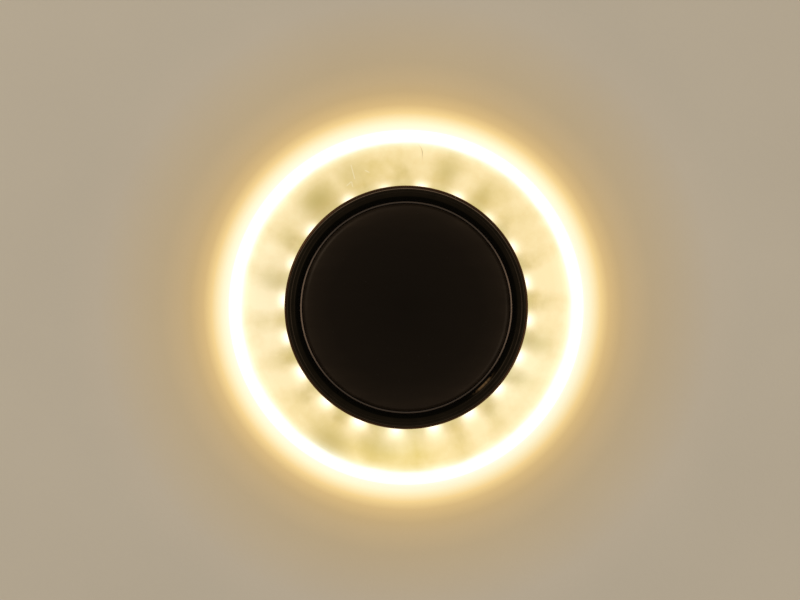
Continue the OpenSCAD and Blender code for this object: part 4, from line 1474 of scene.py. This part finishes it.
def turned(
    name: str, profile: Profile, finish: Finish, segments: int = 240, smooth: float = 32.0
) -> Object:
    """A large turned piece.

    Args:
        name: The piece's name.
        profile: Radius and height of its points, a closed loop or one that ends on the axis.
        finish: Its finish.
        segments: The number of steps round the axis.
        smooth: The angle past which an edge stays sharp.

    Returns:
        The new object.
    """
    source = polyline(name, [(r, 0.0, z) for r, z in profile])
    return formed(name, Recipe.TURNED, source, finish, smooth, Segments=segments, Weld=2e-7)


def upright(*spots: tuple[float, float]) -> Places:
    """Places at height 0 for copies that aren't turned."""
    return [((x, y, 0.0), (0.0, 0.0, 0.0)) for x, y in spots]


def placed(
    name: str,
    places: Places,
    copy: Mesh,
    finish: Finish,
    spin: float = 0.0,
    seed: int = 1,
    smooth: float = 32.0,
) -> Object:
    """Copies of a small piece at given places.

    Args:
        name: The piece's name.
        places: For each copy its place and its turn.
        copy: The mesh that is repeated.
        finish: Its finish.
        spin: The most that a copy spins about its own axis.
        seed: The seed of that spin.
        smooth: The angle past which an edge stays sharp.

    Returns:
        The new object.
    """
    source = plain_mesh(name, [p for p, _ in places])
    attribute = source.attributes.new("turn", "FLOAT_VECTOR", "POINT")
    for item, (_, turn) in zip(attribute.data, places):
        item.vector = [math.radians(a) for a in turn]
    return formed(name, Recipe.PLACED, source, finish, smooth, copy, Spin=math.radians(spin), Seed=seed)


def ringed(
    name: str,
    copy: Mesh,
    finish: Finish,
    count: int,
    first: float,
    pitch: float,
    at: tuple[float, float],
) -> Object:
    """Copies of a small piece round the lamp's axis.

    Args:
        name: The piece's name.
        copy: The mesh that is repeated.
        finish: Its finish.
        count: The number of copies.
        first: The first one's angle.
        pitch: The angle from one to the next.
        at: Their distance from the axis, and their height.

    Returns:
        The new object.
    """
    sizes = {"Count": count, "First": math.radians(first), "Pitch": math.radians(pitch)}
    sizes |= {"Radius": at[0] * MM, "Height": at[1] * MM}
    return formed(name, Recipe.RINGED, plain_mesh(name, [(0, 0, 0)]), finish, copy=copy, **sizes)


def merged(source: Mesh) -> Shape:
    """A clean shape from a CAD node's loose triangles, which stay as they are.

    Args:
        source: The node's mesh.

    Returns:
        The shape, with its points merged and its flat faces whole.
    """
    shape = bmesh.new()
    verts = [shape.verts.new(v.co) for v in source.vertices]
    for face in source.polygons:
        corners = [verts[i] for i in face.vertices]
        if len(set(face.vertices)) == len(corners) and not shape.faces.get(corners):
            shape.faces.new(corners)
    bmesh.ops.remove_doubles(shape, verts=shape.verts, dist=2e-6)
    bmesh.ops.dissolve_limit(shape, angle_limit=math.radians(0.6), verts=shape.verts, edges=shape.edges)
    bmesh.ops.recalc_face_normals(shape, faces=shape.faces)
    return shape


def extent(shape: Shape) -> np.ndarray:
    """Lowest and highest corner of a shape, as two rows."""
    spots = np.array([v.co for v in shape.verts])
    return np.array([spots.min(0), spots.max(0)])


def break_edges(shape: Shape, width: float, smooth: float) -> bool:
    """Breaks a shape's sharp edges.

    Args:
        shape: The shape.
        width: The width of a broken edge.
        smooth: The angle past which an edge counts as sharp.

    Returns:
        True where the shape kept its size, its volume and its closed surface.
    """
    volume_before, box = shape.calc_volume(), extent(shape)
    sharp = [e for e in shape.edges if e.is_manifold and e.calc_face_angle(0.0) > math.radians(smooth)]
    bmesh.ops.bevel(
        shape,
        geom=sharp,
        offset=width * MM,
        segments=2,
        profile=0.6,
        affect="EDGES",
        clamp_overlap=False,
        miter_outer="ARC",
        loop_slide=True,
    )
    bmesh.ops.remove_doubles(shape, verts=shape.verts, dist=1e-6)
    bmesh.ops.triangulate(shape, faces=[f for f in shape.faces if len(f.verts) > 4])
    grown = (extent(shape) - box) * [[-1], [1]]
    kept = shape.calc_volume() / volume_before
    return grown.max() < 2e-5 and 0.9 < kept < 1.02 and all(e.is_manifold for e in shape.edges)


def softened(name: str, node: str, width: float, finish: Finish, smooth: float = 34.0) -> Object:
    """A copy of a CAD node with its sharp edges broken.

    Args:
        name: The piece's name.
        node: The node that it stands for.
        width: The width of a broken edge.
        finish: Its finish.
        smooth: The angle past which an edge counts as sharp.

    Returns:
        The new object. Where the edges can't be broken cleanly they stay sharp.
    """
    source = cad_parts[node].data
    for offset in (width, width / 2):
        shape = merged(source)
        if break_edges(shape, offset, smooth):
            break
        shape.free()
    else:
        shape, offset = merged(source), 0.0
    LOG.info("%s: edges broken by %.2f mm", name, offset)
    return piece(name, from_shape(name, shape), finish, smooth)


@dataclass
class SubAssembly:
    """What every sub-assembly has: the body it rides on and the pieces it made."""

    body: str = "fixture"
    made: list[Object] = field(default_factory=list)

    def keep(self, made: Object, slot: str, *nodes: str) -> None:
        """Gives a piece its body and hides the CAD nodes that it stands for.

        Args:
            made: The piece.
            slot: The record's material slot. Not used.
            *nodes: The CAD nodes that it replaces.
        """
        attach(made, self.body)
        if nodes:
            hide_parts(*nodes)
        self.made.append(made)
        stands_for = ", ".join(nodes) or "nothing in CAD"
        LOG.info("%s: %d faces, for %s", made.name, len(made.data.polygons), stands_for)

    def soften(self, name: str, node: str, width: float, finish: Finish, slot: str) -> None:
        """Keeps a copy of a CAD node with its sharp edges broken."""
        self.keep(softened(name, node, width, finish), slot, node)

    def finish_node(self, finish: Finish, *nodes: str) -> None:
        """Gives CAD nodes a finish and leaves their shape.

        Args:
            finish: The finish.
            *nodes: The nodes' names.
        """
        for name in nodes:
            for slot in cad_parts[name].material_slots:
                slot.material = finish.material()
            LOG.info("%s: CAD shape in %s", name, finish.name)

    def build(self) -> None:
        """Makes the sub-assembly's pieces."""
        raise NotImplementedError


# Front


@dataclass
class LitRing(SubAssembly):
    """The frosted plate, with the strip of light chips in its bore."""

    bore: float = PLATE_BORE
    rim: float = PLATE_RIM
    flat: float = PLATE_FLAT
    back: float = -1.0
    front: float = PLATE_FRONT
    bevel: float = PLATE_SHOULDER
    bore_edge: float = 0.25
    rim_edge: float = 0.3
    bevel_edge: float = 0.8
    bevel_shift: float = 0.33
    strip: tuple[float, float] = (40.85, -4.5)
    chips: int = CHIPS
    pitch: float = CHIP_PITCH
    first: float = FIRST_CHIP
    chip: Point = (0.8, 3.5, 2.8)
    resistor: Point = (0.5, 2.6, 1.56)

    def build(self) -> None:
        """The plate, the chips, the resistors and the solder joints."""
        self.keep(self.plate(), "frosted_acrylic", "light_ring")
        depth, width, height = self.chip
        case = rounded_box("case", (0.0, -width / 2, -height / 2), (depth, width / 2, height / 2), 0.12, 0.16)
        gel = rounded_box("gel", (depth - 0.25, -1.4, -1.05), (depth - 0.06, 1.4, 1.05), 0.06)
        self.keep(self.along("strip_chip_cases", case, CHIP_CASE), "light_chip", "led_chips")
        self.keep(self.along("strip_chip_phosphor", gel, CHIP_ON), "light_chip")
        depth, width, height = self.resistor
        body = rounded_box("body", (0.0, -width / 2, -height / 2), (depth, width / 2, height / 2), 0.05)
        sides = [(y - 0.22, y + 0.22) for y in (-1.38, 1.38)]
        ends = join("ends", [rounded_box("end", (0.0, a, -0.8), (0.53, b, 0.8), 0.05) for a, b in sides])
        self.keep(self.between("strip_resistor_bodies", body, RESISTOR), "chip_resistor", "strip_resistors")
        self.keep(self.between("strip_resistor_ends", ends, FASTENER), "zinc_bright")
        self.finish_node(FILM, "led_strip")

    def plate(self) -> Object:
        """The plate, turned from its section.

        Returns:
            The plate.
        """
        slope = math.degrees(math.atan2(self.bevel - self.front, self.rim - self.flat))
        inner, outer, soft = self.bore + self.bore_edge, self.rim - self.rim_edge, self.bevel_edge
        profile = [(self.bore, self.back - 0.15), (self.bore + 0.15, self.back)]
        profile += [(self.bore + 4 * i, self.back) for i in range(1, 5)]
        profile += [(outer, self.back)] + arc(outer, self.back - self.rim_edge, self.rim_edge, 90, 0, 3)
        profile += arc(self.rim - soft, self.bevel + self.bevel_shift, soft, 0, slope - 90, 6)
        profile += arc(self.flat - self.bevel_shift, self.front + soft, soft, slope - 90, -90, 6)
        profile += [(self.flat - 4 * i, self.front) for i in range(1, 4)]
        profile.append((inner, self.front))
        profile += arc(inner, self.front + self.bore_edge, self.bore_edge, -90, -180, 3)
        profile += [(self.bore, -6.0), (self.bore, -3.5), profile[0]]
        return turned("frosted_plate", profile, GLOW, 256, 50.0)

    def along(self, name: str, copy: Mesh, finish: Finish) -> Object:
        """One copy of a piece on each chip's place."""
        return ringed(name, copy, finish, self.chips, self.first, self.pitch, self.strip)

    def between(self, name: str, copy: Mesh, finish: Finish) -> Object:
        """One copy of a piece after every third chip, halfway to the next."""
        count = len(range(2, self.chips - 1, 3))
        return ringed(name, copy, finish, count, self.first + 2.5 * self.pitch, 3 * self.pitch, self.strip)


@dataclass
class Bezel(SubAssembly):
    """The dark bezel that snaps into the housing and holds the plate."""

    bore: float = BEZEL_BORE
    skirt: float = 39.6
    rim: float = BEZEL_RIM
    seat: float = PLATE_FRONT
    face: float = BEZEL_FACE
    top: float = -2.6
    edge: float = 0.9
    inner: float = 1.1
    groove: float = 41.85
    steps: tuple[float, ...] = (41.25, 40.85, 40.45)
    barbs: int = 4
    tongue: float = 12.0
    slit: float = 0.8

    def build(self) -> None:
        """The turned face and the skirt with its spring barbs."""
        self.keep(self.turned_face(), "black_chrome", "bezel_ring")
        self.keep(self.skirt_spans(), "black_chrome")

    def turned_face(self) -> Object:
        """The face, turned from its section, with a fine groove and three faint steps.

        Returns:
            The face.
        """
        low, face = self.seat + 1.2, self.face
        profile = [(self.bore, low), (self.skirt, low), (self.skirt, self.seat)]
        profile += [(self.rim - 0.1, self.seat), (self.rim, self.seat - 0.1)]
        profile += arc(self.rim - self.edge, face + self.edge, self.edge, 0, -90, 12)
        groove = ((0.22, 0.0), (0.08, 0.2), (-0.08, 0.2), (-0.22, 0.0))
        profile += [(self.groove + r, face + z) for r, z in groove]
        for r in self.steps:
            profile += [(r, face), (r - 0.05, face + 0.05), (r - 0.12, face + 0.05), (r - 0.17, face)]
        profile += arc(self.bore + self.inner, face + self.inner, self.inner, -90, -180, 10)
        profile += [(self.bore, self.seat), (self.bore, low)]
        return turned("dark_bezel_face", profile, PLATING, 256, 24.0)

    def skirt_spans(self) -> Object:
        """The skirt between the slits, with a barb on each narrow tongue.

        Returns:
            The skirt.
        """
        low, high, lip = self.seat + 1.1, self.top, 0.12
        wall = [(self.bore, low), (self.skirt, low), (self.skirt, high - lip), (self.skirt - lip, high)]
        wall += [(self.bore + lip, high), (self.bore, high - lip)]
        hook = ((-0.05, -0.6), (-0.05, -2.1), (0.55, -2.1), (0.6, -1.95), (0.15, -0.6))
        barb = [(self.skirt + r, high + z) for r, z in hook]
        gap, half, turn = math.degrees(self.slit / 2 / self.bore), self.tongue / 2, 360.0 / self.barbs
        meshes = []
        for i in range(self.barbs):
            middle = 45.0 + i * turn
            meshes.append(self.swept(wall, middle - half + gap, middle + half - gap, 6))
            meshes.append(self.swept(wall, middle + half + gap, middle + turn - half - gap, 32))
            meshes.append(self.swept(barb, middle - 4, middle + 4, 4))
        return piece("dark_bezel_skirt", join("skirt", meshes), PLATING)

    def swept(self, wall: Profile, a0: float, a1: float, steps: int) -> Mesh:
        """A section swept round the axis from one angle to another, in steps."""
        angles = [a0 + (a1 - a0) * i / steps for i in range(steps + 1)]
        return loft("span", [[around(r, a, z) for r, z in wall] for a in angles])


@dataclass
class DiscLamp(SubAssembly):
    """The twist-lock disc lamp: case, lens, board, chips and two mushroom pins."""

    body: str = "lamp"
    lens_r: float = LENS_RIM
    edge: float = 2.4
    wall: float = 1.4
    apex: float = -12.3
    face: float = -12.0
    ledge: float = -9.0
    pin_r: float = 26.5
    chip_r: float = 24.0
    board: float = -0.8
    dome_steps: int = 14

    def build(self) -> None:
        """All the lamp's pieces."""
        self.keep(self.dome(), "dark_lens", "lamp_lens")
        self.soften("lamp_case", "lamp_shell", 0.12, CASE, "lamp_body")
        self.keep(self.pins(), "pin_nickel", "lamp_pins")
        case = rounded_box("case", (-1.4, -1.75, -0.8), (1.4, 1.75, 0.0), 0.1)
        gel = rounded_box("gel", (-1.0, -1.35, -0.86), (1.0, 1.35, -0.74), 0.04)
        self.keep(self.two_circles("lamp_chip_cases", case, CHIP_CASE), "light_chip", "lamp_leds")
        self.keep(self.two_circles("lamp_chip_phosphor", gel, CHIP_OFF), "light_chip")
        self.finish_node(LAMP_BOARD, "lamp_board")

    def dome(self) -> Object:
        """The lens, turned as a thin closed shell."""
        outside = self.shell(0.0)
        return turned("dark_lens_dome", outside + self.shell(self.wall)[::-1] + outside[:1], LENS, 224, 40.0)

    def shell(self, inset: float) -> Profile:
        """The lens's outside, or its inside where it is inset, from the ledge to the axis.

        Args:
            inset: The distance inward from the outside.

        Returns:
            The section.
        """
        flat, rise = self.lens_r - self.edge, self.face - self.apex
        profile = [(self.lens_r - inset, self.ledge), (self.lens_r - inset, self.face + self.edge + 0.3)]
        profile += arc(flat, self.face + self.edge, self.edge - inset, 0, -90, 12)
        shares = [i / self.dome_steps for i in reversed(range(self.dome_steps))]
        return profile + [(flat * share, self.face + inset - rise * (1 - share**2)) for share in shares]

    def pins(self) -> Object:
        """The two mushroom pins.

        Returns:
            The pins.
        """
        section = [(2.3, 0.2), (2.3, 0.8), (1.5, 0.8), (1.5, 5.35), (1.75, 5.6), (2.2, 5.6), (2.5, 5.9)]
        section += [(2.5, 7.2), (2.32, 7.55), (2.0, 7.76), (1.0, 7.8)]
        places = upright((0.0, -self.pin_r), (0.0, self.pin_r))
        return placed("mushroom_pins", places, lathe("pin", section, 40), NICKEL, smooth=28.0)

    def two_circles(self, name: str, copy: Mesh, finish: Finish) -> Object:
        """One copy of a piece on each chip's place, twelve outside and six inside.

        Args:
            name: The piece's name.
            copy: The mesh that is repeated.
            finish: Its finish.

        Returns:
            The new object.
        """
        places = []
        for count, radius in ((12, self.chip_r), (6, self.chip_r / 2)):
            angles = [(i + 0.5) * 360.0 / count for i in range(count)]
            places += [(around(radius, a, self.board), (0.0, 0.0, a)) for a in angles]
        return placed(name, places, copy, finish)


# Back


@dataclass
class Housing(SubAssembly):
    """The pressed cup, its ceiling plate, the cable grommet and the earth screw."""

    top: float = CUP_TOP
    under: float = 14.8
    cable_y: float = -1.5
    cable_bore: float = 3.2
    cable_wall: float = 4.8
    earth_x: float = -12.5
    earth_turn: float = 18.0
    teeth: int = 24

    def build(self) -> None:
        """All the housing's pieces."""
        self.soften("pressed_cup", "housing_cup", 0.12, ZINC_PRESSED, "zinc_sheet")
        self.soften("ceiling_plate", "seat_plate", 0.15, ZINC, "zinc_sheet")
        self.keep(self.grommet(), "black_rubber", "cable_grommet")
        self.keep(self.earth(), "contact_brass", "earth_screw")
        self.keep(self.washer(), "zinc_bright")

    def grommet(self) -> Object:
        """The cable grommet, turned from its section.

        Returns:
            The grommet.
        """
        bore, wall, top, under = self.cable_bore, self.cable_wall, self.top, self.under
        section = [(bore, under - 0.7), (bore + 0.2, under - 0.9), (wall + 0.6, under - 0.9)]
        section += [(wall + 1.1, under - 0.4), (wall + 1.1, under), (wall, under), (wall, top)]
        section += [(wall + 1.2, top)] + arc(wall + 1.1, top + 0.3, 0.3, -60, 60, 4)
        section += arc(wall + 0.1, top + 1.0, 0.6, 45, 90, 3) + [(bore + 0.5, top + 1.6)]
        section += arc(bore + 0.4, top + 1.2, 0.4, 90, 180, 3)
        grommet = loft("grommet", circles(section, 64), True)
        return placed("cable_grommet_ring", upright((0.0, self.cable_y)), grommet, BLACK_RUBBER, smooth=40.0)

    def earth(self) -> Object:
        """The brass earth screw, with a cross recess.

        Returns:
            The screw.
        """
        rings = circles(threaded(1.95, 1.75, self.under - 0.8, self.top, 6))
        rings += cross_head(3.4, 2.4, self.top + 0.8)
        places = [((self.earth_x, self.cable_y, 0.0), (0.0, 0.0, self.earth_turn))]
        return placed("earth_screw_brass", places, loft("earth", rings), TURNED_BRASS)

    def washer(self) -> Object:
        """The toothed washer under the earth screw.

        Returns:
            The washer.
        """
        n = self.teeth * 2
        rings = []
        for low, rise in ((0.02, 0.1), (0.62, 0.12)):
            tooth = [(3.6, self.top + low), (4.15, self.top + low + rise)]
            rings.append([around(tooth[k % 2][0], 360.0 * k / n, tooth[k % 2][1]) for k in range(n)])
        rings += [circle(2.05, self.top + 0.7, n), circle(2.05, self.top + 0.05, n)]
        places = upright((self.earth_x, self.cable_y))
        return placed("earth_washer", places, loft("washer", rings, True), FASTENER)


@dataclass
class Lampholder(SubAssembly):
    """The moulded bayonet holder, its cover, contacts, screws and nuts."""

    sunk: float = 6.3
    cup_top: float = CUP_TOP
    screw_x: float = 29.0
    nut_h: float = 2.4

    def build(self) -> None:
        """All the holder's pieces."""
        self.soften("holder_moulding", "lampholder_body", 0.15, WHITE, "white_moulding")
        self.soften("holder_cover", "lampholder_cover", 0.15, WHITE, "white_moulding")
        self.finish_node(BRASS, "contact_front", "contact_rear")
        self.keep(self.screws(), "zinc_bright", "lampholder_screws")
        self.keep(self.nuts(), "zinc_bright", "lampholder_nuts")

    def both(self, name: str, copy: Mesh, spin: float, seed: int, smooth: float) -> Object:
        """A copy of a piece on each screw's place."""
        places = upright((-self.screw_x, 0.0), (self.screw_x, 0.0))
        return placed(name, places, copy, FASTENER, spin, seed, smooth)

    def screws(self) -> Object:
        """Two long screws that hang head down, threaded where they pass the nuts.

        Returns:
            The screws.
        """
        end = self.cup_top + 3.2
        thread = threaded(1.5, 1.32, self.cup_top + 0.1, end - 0.2, 6)
        rings = circles([(1.2, end)] + thread[::-1] + [(1.5, self.cup_top), (1.5, self.sunk)])
        rings += [[(x, y, 2 * self.sunk - z) for x, y, z in ring] for ring in cross_head(2.8, 2.2, self.sunk)]
        return self.both("holder_screws", loft("screw", rings), 80.0, 7, 32.0)

    def nuts(self) -> Object:
        """Two hexagon nuts with chamfered corners.

        Returns:
            The nuts.
        """
        z, top = self.cup_top, self.cup_top + self.nut_h
        rings = [hexagon(2.9, z), hexagon(3.1, z + 0.15), hexagon(3.1, top - 0.4)]
        rings += circles([(2.62, top), (1.75, top), (1.52, top - 0.2), (1.52, z + 0.2), (1.75, z)])
        return self.both("holder_nuts", loft("nut", rings, True), 50.0, 3, 25.0)


class Side(Enum):
    """The two sides that a clip may stand on."""

    LEFT = -1
    RIGHT = 1


@dataclass
class SpringClip(SubAssembly):
    """One fitting clip: bracket and pin, which stay on the fixture, arm, pad and torsion spring."""

    side: Side = Side.RIGHT
    hinge_x: float = 40.4
    hinge_z: float = 12.0
    tilt: float = 5.0
    pin_reach: float = 7.3
    arm_l: float = 45.0
    pad_l: float = 11.0
    pad_t: float = 3.2
    pad_w: float = 12.4
    ribs: int = 6
    rib_h: float = 0.2
    web_mid: float = -3.2
    wire: float = 0.45
    coil_r: float = 2.3
    coil_pitch: float = 1.4
    turns: int = 5

    def at_hinge(self, p: Sequence[float], tilt: float = 0.0) -> Point:
        """A point given from the hinge, moved to its place on this clip's side.

        Args:
            p: The point on a right clip.
            tilt: How far the arm that it belongs to droops at rest.

        Returns:
            The point.
        """
        c, s = math.cos(math.radians(tilt)), math.sin(math.radians(tilt))
        x, z = p[0] * c + p[2] * s, p[2] * c - p[0] * s
        return ((x + self.hinge_x) * self.side.value, p[1], z + self.hinge_z)

    def build(self) -> None:
        """The clip's pieces, the fixed ones first."""
        tag = self.side.name.lower()
        moving, self.body = self.body, "fixture"
        self.soften(f"saddle_{tag}", f"bracket_{tag}", 0.12, BRACKET_STEEL, "clip_steel")
        self.keep(self.pin(f"hinge_pin_{tag}"), "zinc_bright", f"clip_pin_{tag}")
        self.body = moving
        self.soften(f"arm_{tag}", f"clip_arm_{tag}", 0.12, CLIP_STEEL, "clip_steel")
        self.keep(self.pad(f"grip_pad_{tag}"), "silicone_pad", f"clip_pad_{tag}")
        self.keep(self.spring(f"wire_spring_{tag}"), "spring_wire", f"torsion_spring_{tag}")

    def pin(self, name: str) -> Object:
        """The hinge pin with its two rolled heads.

        Args:
            name: The piece's name.

        Returns:
            The pin.
        """
        heads = ((1.0, 0.0), (1.55, 0.0), (1.6, 0.12), (1.45, 0.62), (1.2, 0.8))
        half = [(1.0, 0.0)] + [(r, self.pin_reach + z) for r, z in heads]
        section = [(r, -z) for r, z in reversed(half)] + half[1:]
        places = [(self.at_hinge((0.0, 0.0, 0.0)), (90.0, 0.0, 0.0))]
        return placed(name, places, lathe("pin", section, 32), FASTENER)

    def pad(self, name: str) -> Object:
        """The soft pad: a rounded sleeve with grip ribs across it.

        Args:
            name: The piece's name.

        Returns:
            The pad.
        """
        start, end, low = self.arm_l - self.pad_l, self.arm_l + 0.8, self.rib_h
        pitch = (end - start - 1.6) / self.ribs
        stations = [(start, 0.42), (start + 0.25, low)]
        for i in range(self.ribs):
            x, half = start + 0.8 + i * pitch, pitch * 0.5
            stations += [(x, low), (x + 0.18, 0.0), (x + half, 0.0), (x + half + 0.18, low)]
        stations += [(end - 0.5, low), (end - 0.12, 0.45), (end, 0.75)]
        rings = []
        for x, inset in stations:
            w, t, r = self.pad_w / 2 - inset, self.pad_t / 2 - inset, 1.2 - inset
            ring = []
            for y, z, a0 in ((1, 1, 0), (-1, 1, 90), (-1, -1, 180), (1, -1, 270)):
                ring += arc(y * (w - r), z * (t - r), r, a0, a0 + 90, 5)
            rings.append([self.at_hinge((x, y, z + self.web_mid), self.tilt) for y, z in ring])
        return piece(name, loft("pad", rings), SILICONE, 40.0)

    def spring(self, name: str) -> Object:
        """The torsion spring: a leg on the bracket, the coil, and a leg on the arm.

        Args:
            name: The piece's name.

        Returns:
            The spring.
        """
        first, last = 195.0, -90.0 - self.tilt + 360.0 * self.turns
        width = self.coil_pitch * (last - first) / 360.0
        steps = self.turns * 28
        coil = []
        for i in range(steps + 1):
            x, z, _ = around(self.coil_r, first + (last - first) * i / steps)
            coil.append(Vector((x, width * (0.5 - i / steps), z)))
        x, z, _ = around(1.0, first + 90.0)
        points = [coil[0] - Vector((x, 0.0, z)) * reach for reach in (3.95, 2.6, 1.3)] + coil
        x, z, _ = around(1.0, last + 90.0)
        points += [coil[-1] + Vector((x, 0.0, z)) * reach for reach in (2.0, 6.0, 10.0, 13.95)]
        source = polyline("spring", [self.at_hinge(p) for p in points])
        return formed(name, Recipe.WIRED, source, WIRE, 60.0, Wire=self.wire * MM, Sides=12)


@dataclass
class Fasteners(SubAssembly):
    """The rivets of the two brackets and the screws in the back of the cup."""

    drum: float = 36.1
    rivet_z: float = 5.6
    rivet_y: float = 4.5
    sheet: float = 0.8
    cup_top: float = CUP_TOP
    block: tuple[float, float] = (5.75, TERMINAL_Y)
    driver: tuple[float, float] = (25.5, 13.0)

    def build(self) -> None:
        """The rivets and the screws."""
        self.keep(self.rivets(), "zinc_bright", "bracket_rivets")
        self.keep(self.screws(), "zinc_bright", "plate_screws")

    def rivets(self) -> Object:
        """Four domed rivets, each square to the drum.

        Returns:
            The rivets.
        """
        base = self.sheet + 0.02
        section = [(0.9, -1.0), (1.0, -0.9), (1.0, base), (1.3, base), (1.35, base + 0.08)]
        section += [(1.35 * math.cos(a), base + 0.08 + 0.62 * math.sin(a)) for a in (0.3, 0.6, 0.9, 1.2, 1.4)]
        beside = math.degrees(math.asin(self.rivet_y / self.drum))
        turns = (-beside, beside, 180 - beside, 180 + beside)
        places = [(around(self.drum, turn, self.rivet_z), (0.0, 90.0, turn)) for turn in turns]
        return placed("domed_rivets", places, lathe("rivet", section, 28), FASTENER, smooth=30.0)

    def screws(self) -> Object:
        """Four small pan heads that hold the terminal block and the driver.

        Returns:
            The screws.
        """
        low, top = self.cup_top - 2.0, self.cup_top
        shank = [(0.7, low)] + threaded(1.0, 0.82, low + 0.15, top + 1.5, 9) + [(1.0, top + 1.6)]
        rings = circles(shank) + cross_head(1.9, 1.6, top + 2.0)
        pairs = []
        rows = (("block_screws", self.block, 1.0, 5), ("driver_screws", self.driver, 0.0, 9))
        for name, (x, y), lift, seed in rows:
            screw = loft(name, [[(px, py, z + lift) for px, py, z in ring] for ring in rings])
            pairs.append(placed(name, upright((-x, y), (x, y)), screw, FASTENER, 80.0, seed))
        mesh = join("screws", [pair.data.copy() for pair in pairs])
        discard(*pairs)
        return piece("plate_screw_set", mesh, FASTENER)


@dataclass
class TerminalStrip(SubAssembly):
    """The three-way terminal block with its brass sleeves and slotted screws."""

    pitch: float = 11.5
    y: float = TERMINAL_Y
    cup_top: float = CUP_TOP
    tower_y: float = 4.5

    def build(self) -> None:
        """All the block's pieces."""
        self.soften("terminal_moulding", "terminal_block", 0.18, POLYAMIDE, "polyamide")
        self.finish_node(TURNED_BRASS, "terminal_sleeves")
        self.keep(self.screws(), "zinc_bright", "terminal_screws")

    def screws(self) -> Object:
        """Six cheese-head screws, each with its slot at its own angle.

        Returns:
            The screws.
        """
        head, top = self.cup_top + 8.0, self.cup_top + 11.5
        low = head - 1.4
        section = [(1.05, low)] + threaded(1.25, 1.08, low + 0.1, head - 0.1, 3)
        rings = circles(section + [(1.8, head), (1.8, top - 0.15), (1.65, top)])
        rings += [slot_ring(1.35, 0.3, top), slot_ring(1.3, 0.28, top - 0.9)]
        spots = [(i * self.pitch, self.y + s * self.tower_y) for i in (-1, 0, 1) for s in (-1, 1)]
        return placed("terminal_screw_set", upright(*spots), loft("screw", rings), FASTENER, 170.0, 11)


@dataclass
class RingDriver(SubAssembly):
    """The little box that feeds the light ring."""

    def build(self) -> None:
        """The box, its lid and the board inside."""
        self.soften("driver_box", "driver_case", 0.25, DRIVER_WHITE, "driver_plastic")
        self.soften("driver_box_lid", "driver_lid", 0.15, DRIVER_WHITE, "driver_plastic")
        self.finish_node(BOARD, "driver_board")


# Studio


@dataclass
class Studio:
    """Ceiling, soft lamps, world and camera."""

    eye: Point = (-2.2, -2.6, -550.0)
    lens: float = 68.67
    sensor: float = 36.0
    radii: tuple[float, ...] = (45.0, 70.0, 110.0, 250.0, 1500.0)
    ceiling_z: float = 0.3
    segments: int = 96
    room: Colour = (1.0, 0.985, 0.96)
    backdrop: Colour = (0.9, 0.885, 0.86)
    room_strength: float = 0.55

    def build(self) -> None:
        """Everything round the object."""
        self.ceiling()
        self.world()
        self.lamp("low_left", (-900.0, -620.0, -900.0), 700.0, 5.4)
        self.lamp("low_right", (1000.0, 350.0, -800.0), 900.0, 3.4)
        self.lamp("high_front", (500.0, -900.0, 900.0), 700.0, 3.0)
        self.lamp("high_back", (-800.0, 700.0, 1000.0), 900.0, 2.6)
        self.camera()
        bpy.context.scene.view_settings.view_transform = "Standard"

    def ceiling(self) -> None:
        """A flat ceiling with the fixture's hole in it. It shows from the room side only."""
        points = [p for r in self.radii for p in circle(r, self.ceiling_z, self.segments)]
        mesh = plain_mesh("ceiling", points, bands(self.segments, len(self.radii)))
        if mesh.polygons[0].normal.z > 0:
            mesh.flip_normals()
        piece("ceiling", mesh, PAINT)
        LOG.info("ceiling: seen from below, with the ring's halo on it")

    def world(self) -> None:
        """An even pale room: half the object's light, and a pale backdrop for what looks past it."""
        world = bpy.data.worlds.new("room")
        bpy.context.scene.world = world
        world.use_nodes = True
        g = Graph(world.node_tree)
        rays = g.add("ShaderNodeLightPath").outputs
        seen = g.higher(rays["Is Camera Ray"], g.higher(rays["Is Glossy Ray"], rays["Is Transmission Ray"]))
        light, pale = (
            g.add("ShaderNodeBackground", {"Color": colour, "Strength": strength}).outputs[0]
            for colour, strength in ((self.room, self.room_strength), (self.backdrop, 1.0))
        )
        both = g.add("ShaderNodeMixShader", {0: seen, 1: light, 2: pale}).outputs[0]
        g.add("ShaderNodeOutputWorld", {"Surface": both})

    def lamp(self, name: str, place: Point, size: float, watts: float) -> None:
        """One soft lamp that faces the object.

        Args:
            name: Its name.
            place: Where it stands.
            size: Its width.
            watts: Its power.
        """
        data = bpy.data.lights.new(name, "AREA")
        data.shape = "DISK"
        data.size = size * MM
        data.energy = watts
        lamp = in_scene(name, data)
        lamp.location = Vector(place) * MM
        lamp.rotation_euler = (-lamp.location).to_track_quat("-Z", "Y").to_euler()
        lamp.visible_camera = False

    def camera(self) -> None:
        """A camera below the lamp, looking straight up, as the photograph was taken."""
        data = bpy.data.cameras.new("camera")
        data.lens = self.lens
        data.sensor_width = self.sensor
        data.clip_start = 0.01
        camera = in_scene("camera", data)
        camera.location = Vector(self.eye) * MM
        camera.rotation_euler = (math.pi, 0.0, 0.0)
        bpy.context.scene.camera = camera


def main() -> None:
    """Builds every sub-assembly, then the studio."""
    logging.basicConfig(level=logging.INFO, format="%(message)s")
    assemblies: list[SubAssembly] = [
        LitRing(),
        Bezel(),
        DiscLamp(),
        Housing(),
        Lampholder(),
        SpringClip(body="clip_left", side=Side.LEFT),
        SpringClip(body="clip_right", side=Side.RIGHT),
        Fasteners(),
        TerminalStrip(),
        RingDriver(),
    ]
    for assembly in assemblies:
        assembly.build()
        LOG.info("%s done: %d new pieces", type(assembly).__name__, len(assembly.made))
    Studio().build()


if __name__ == "__main__":
    main()
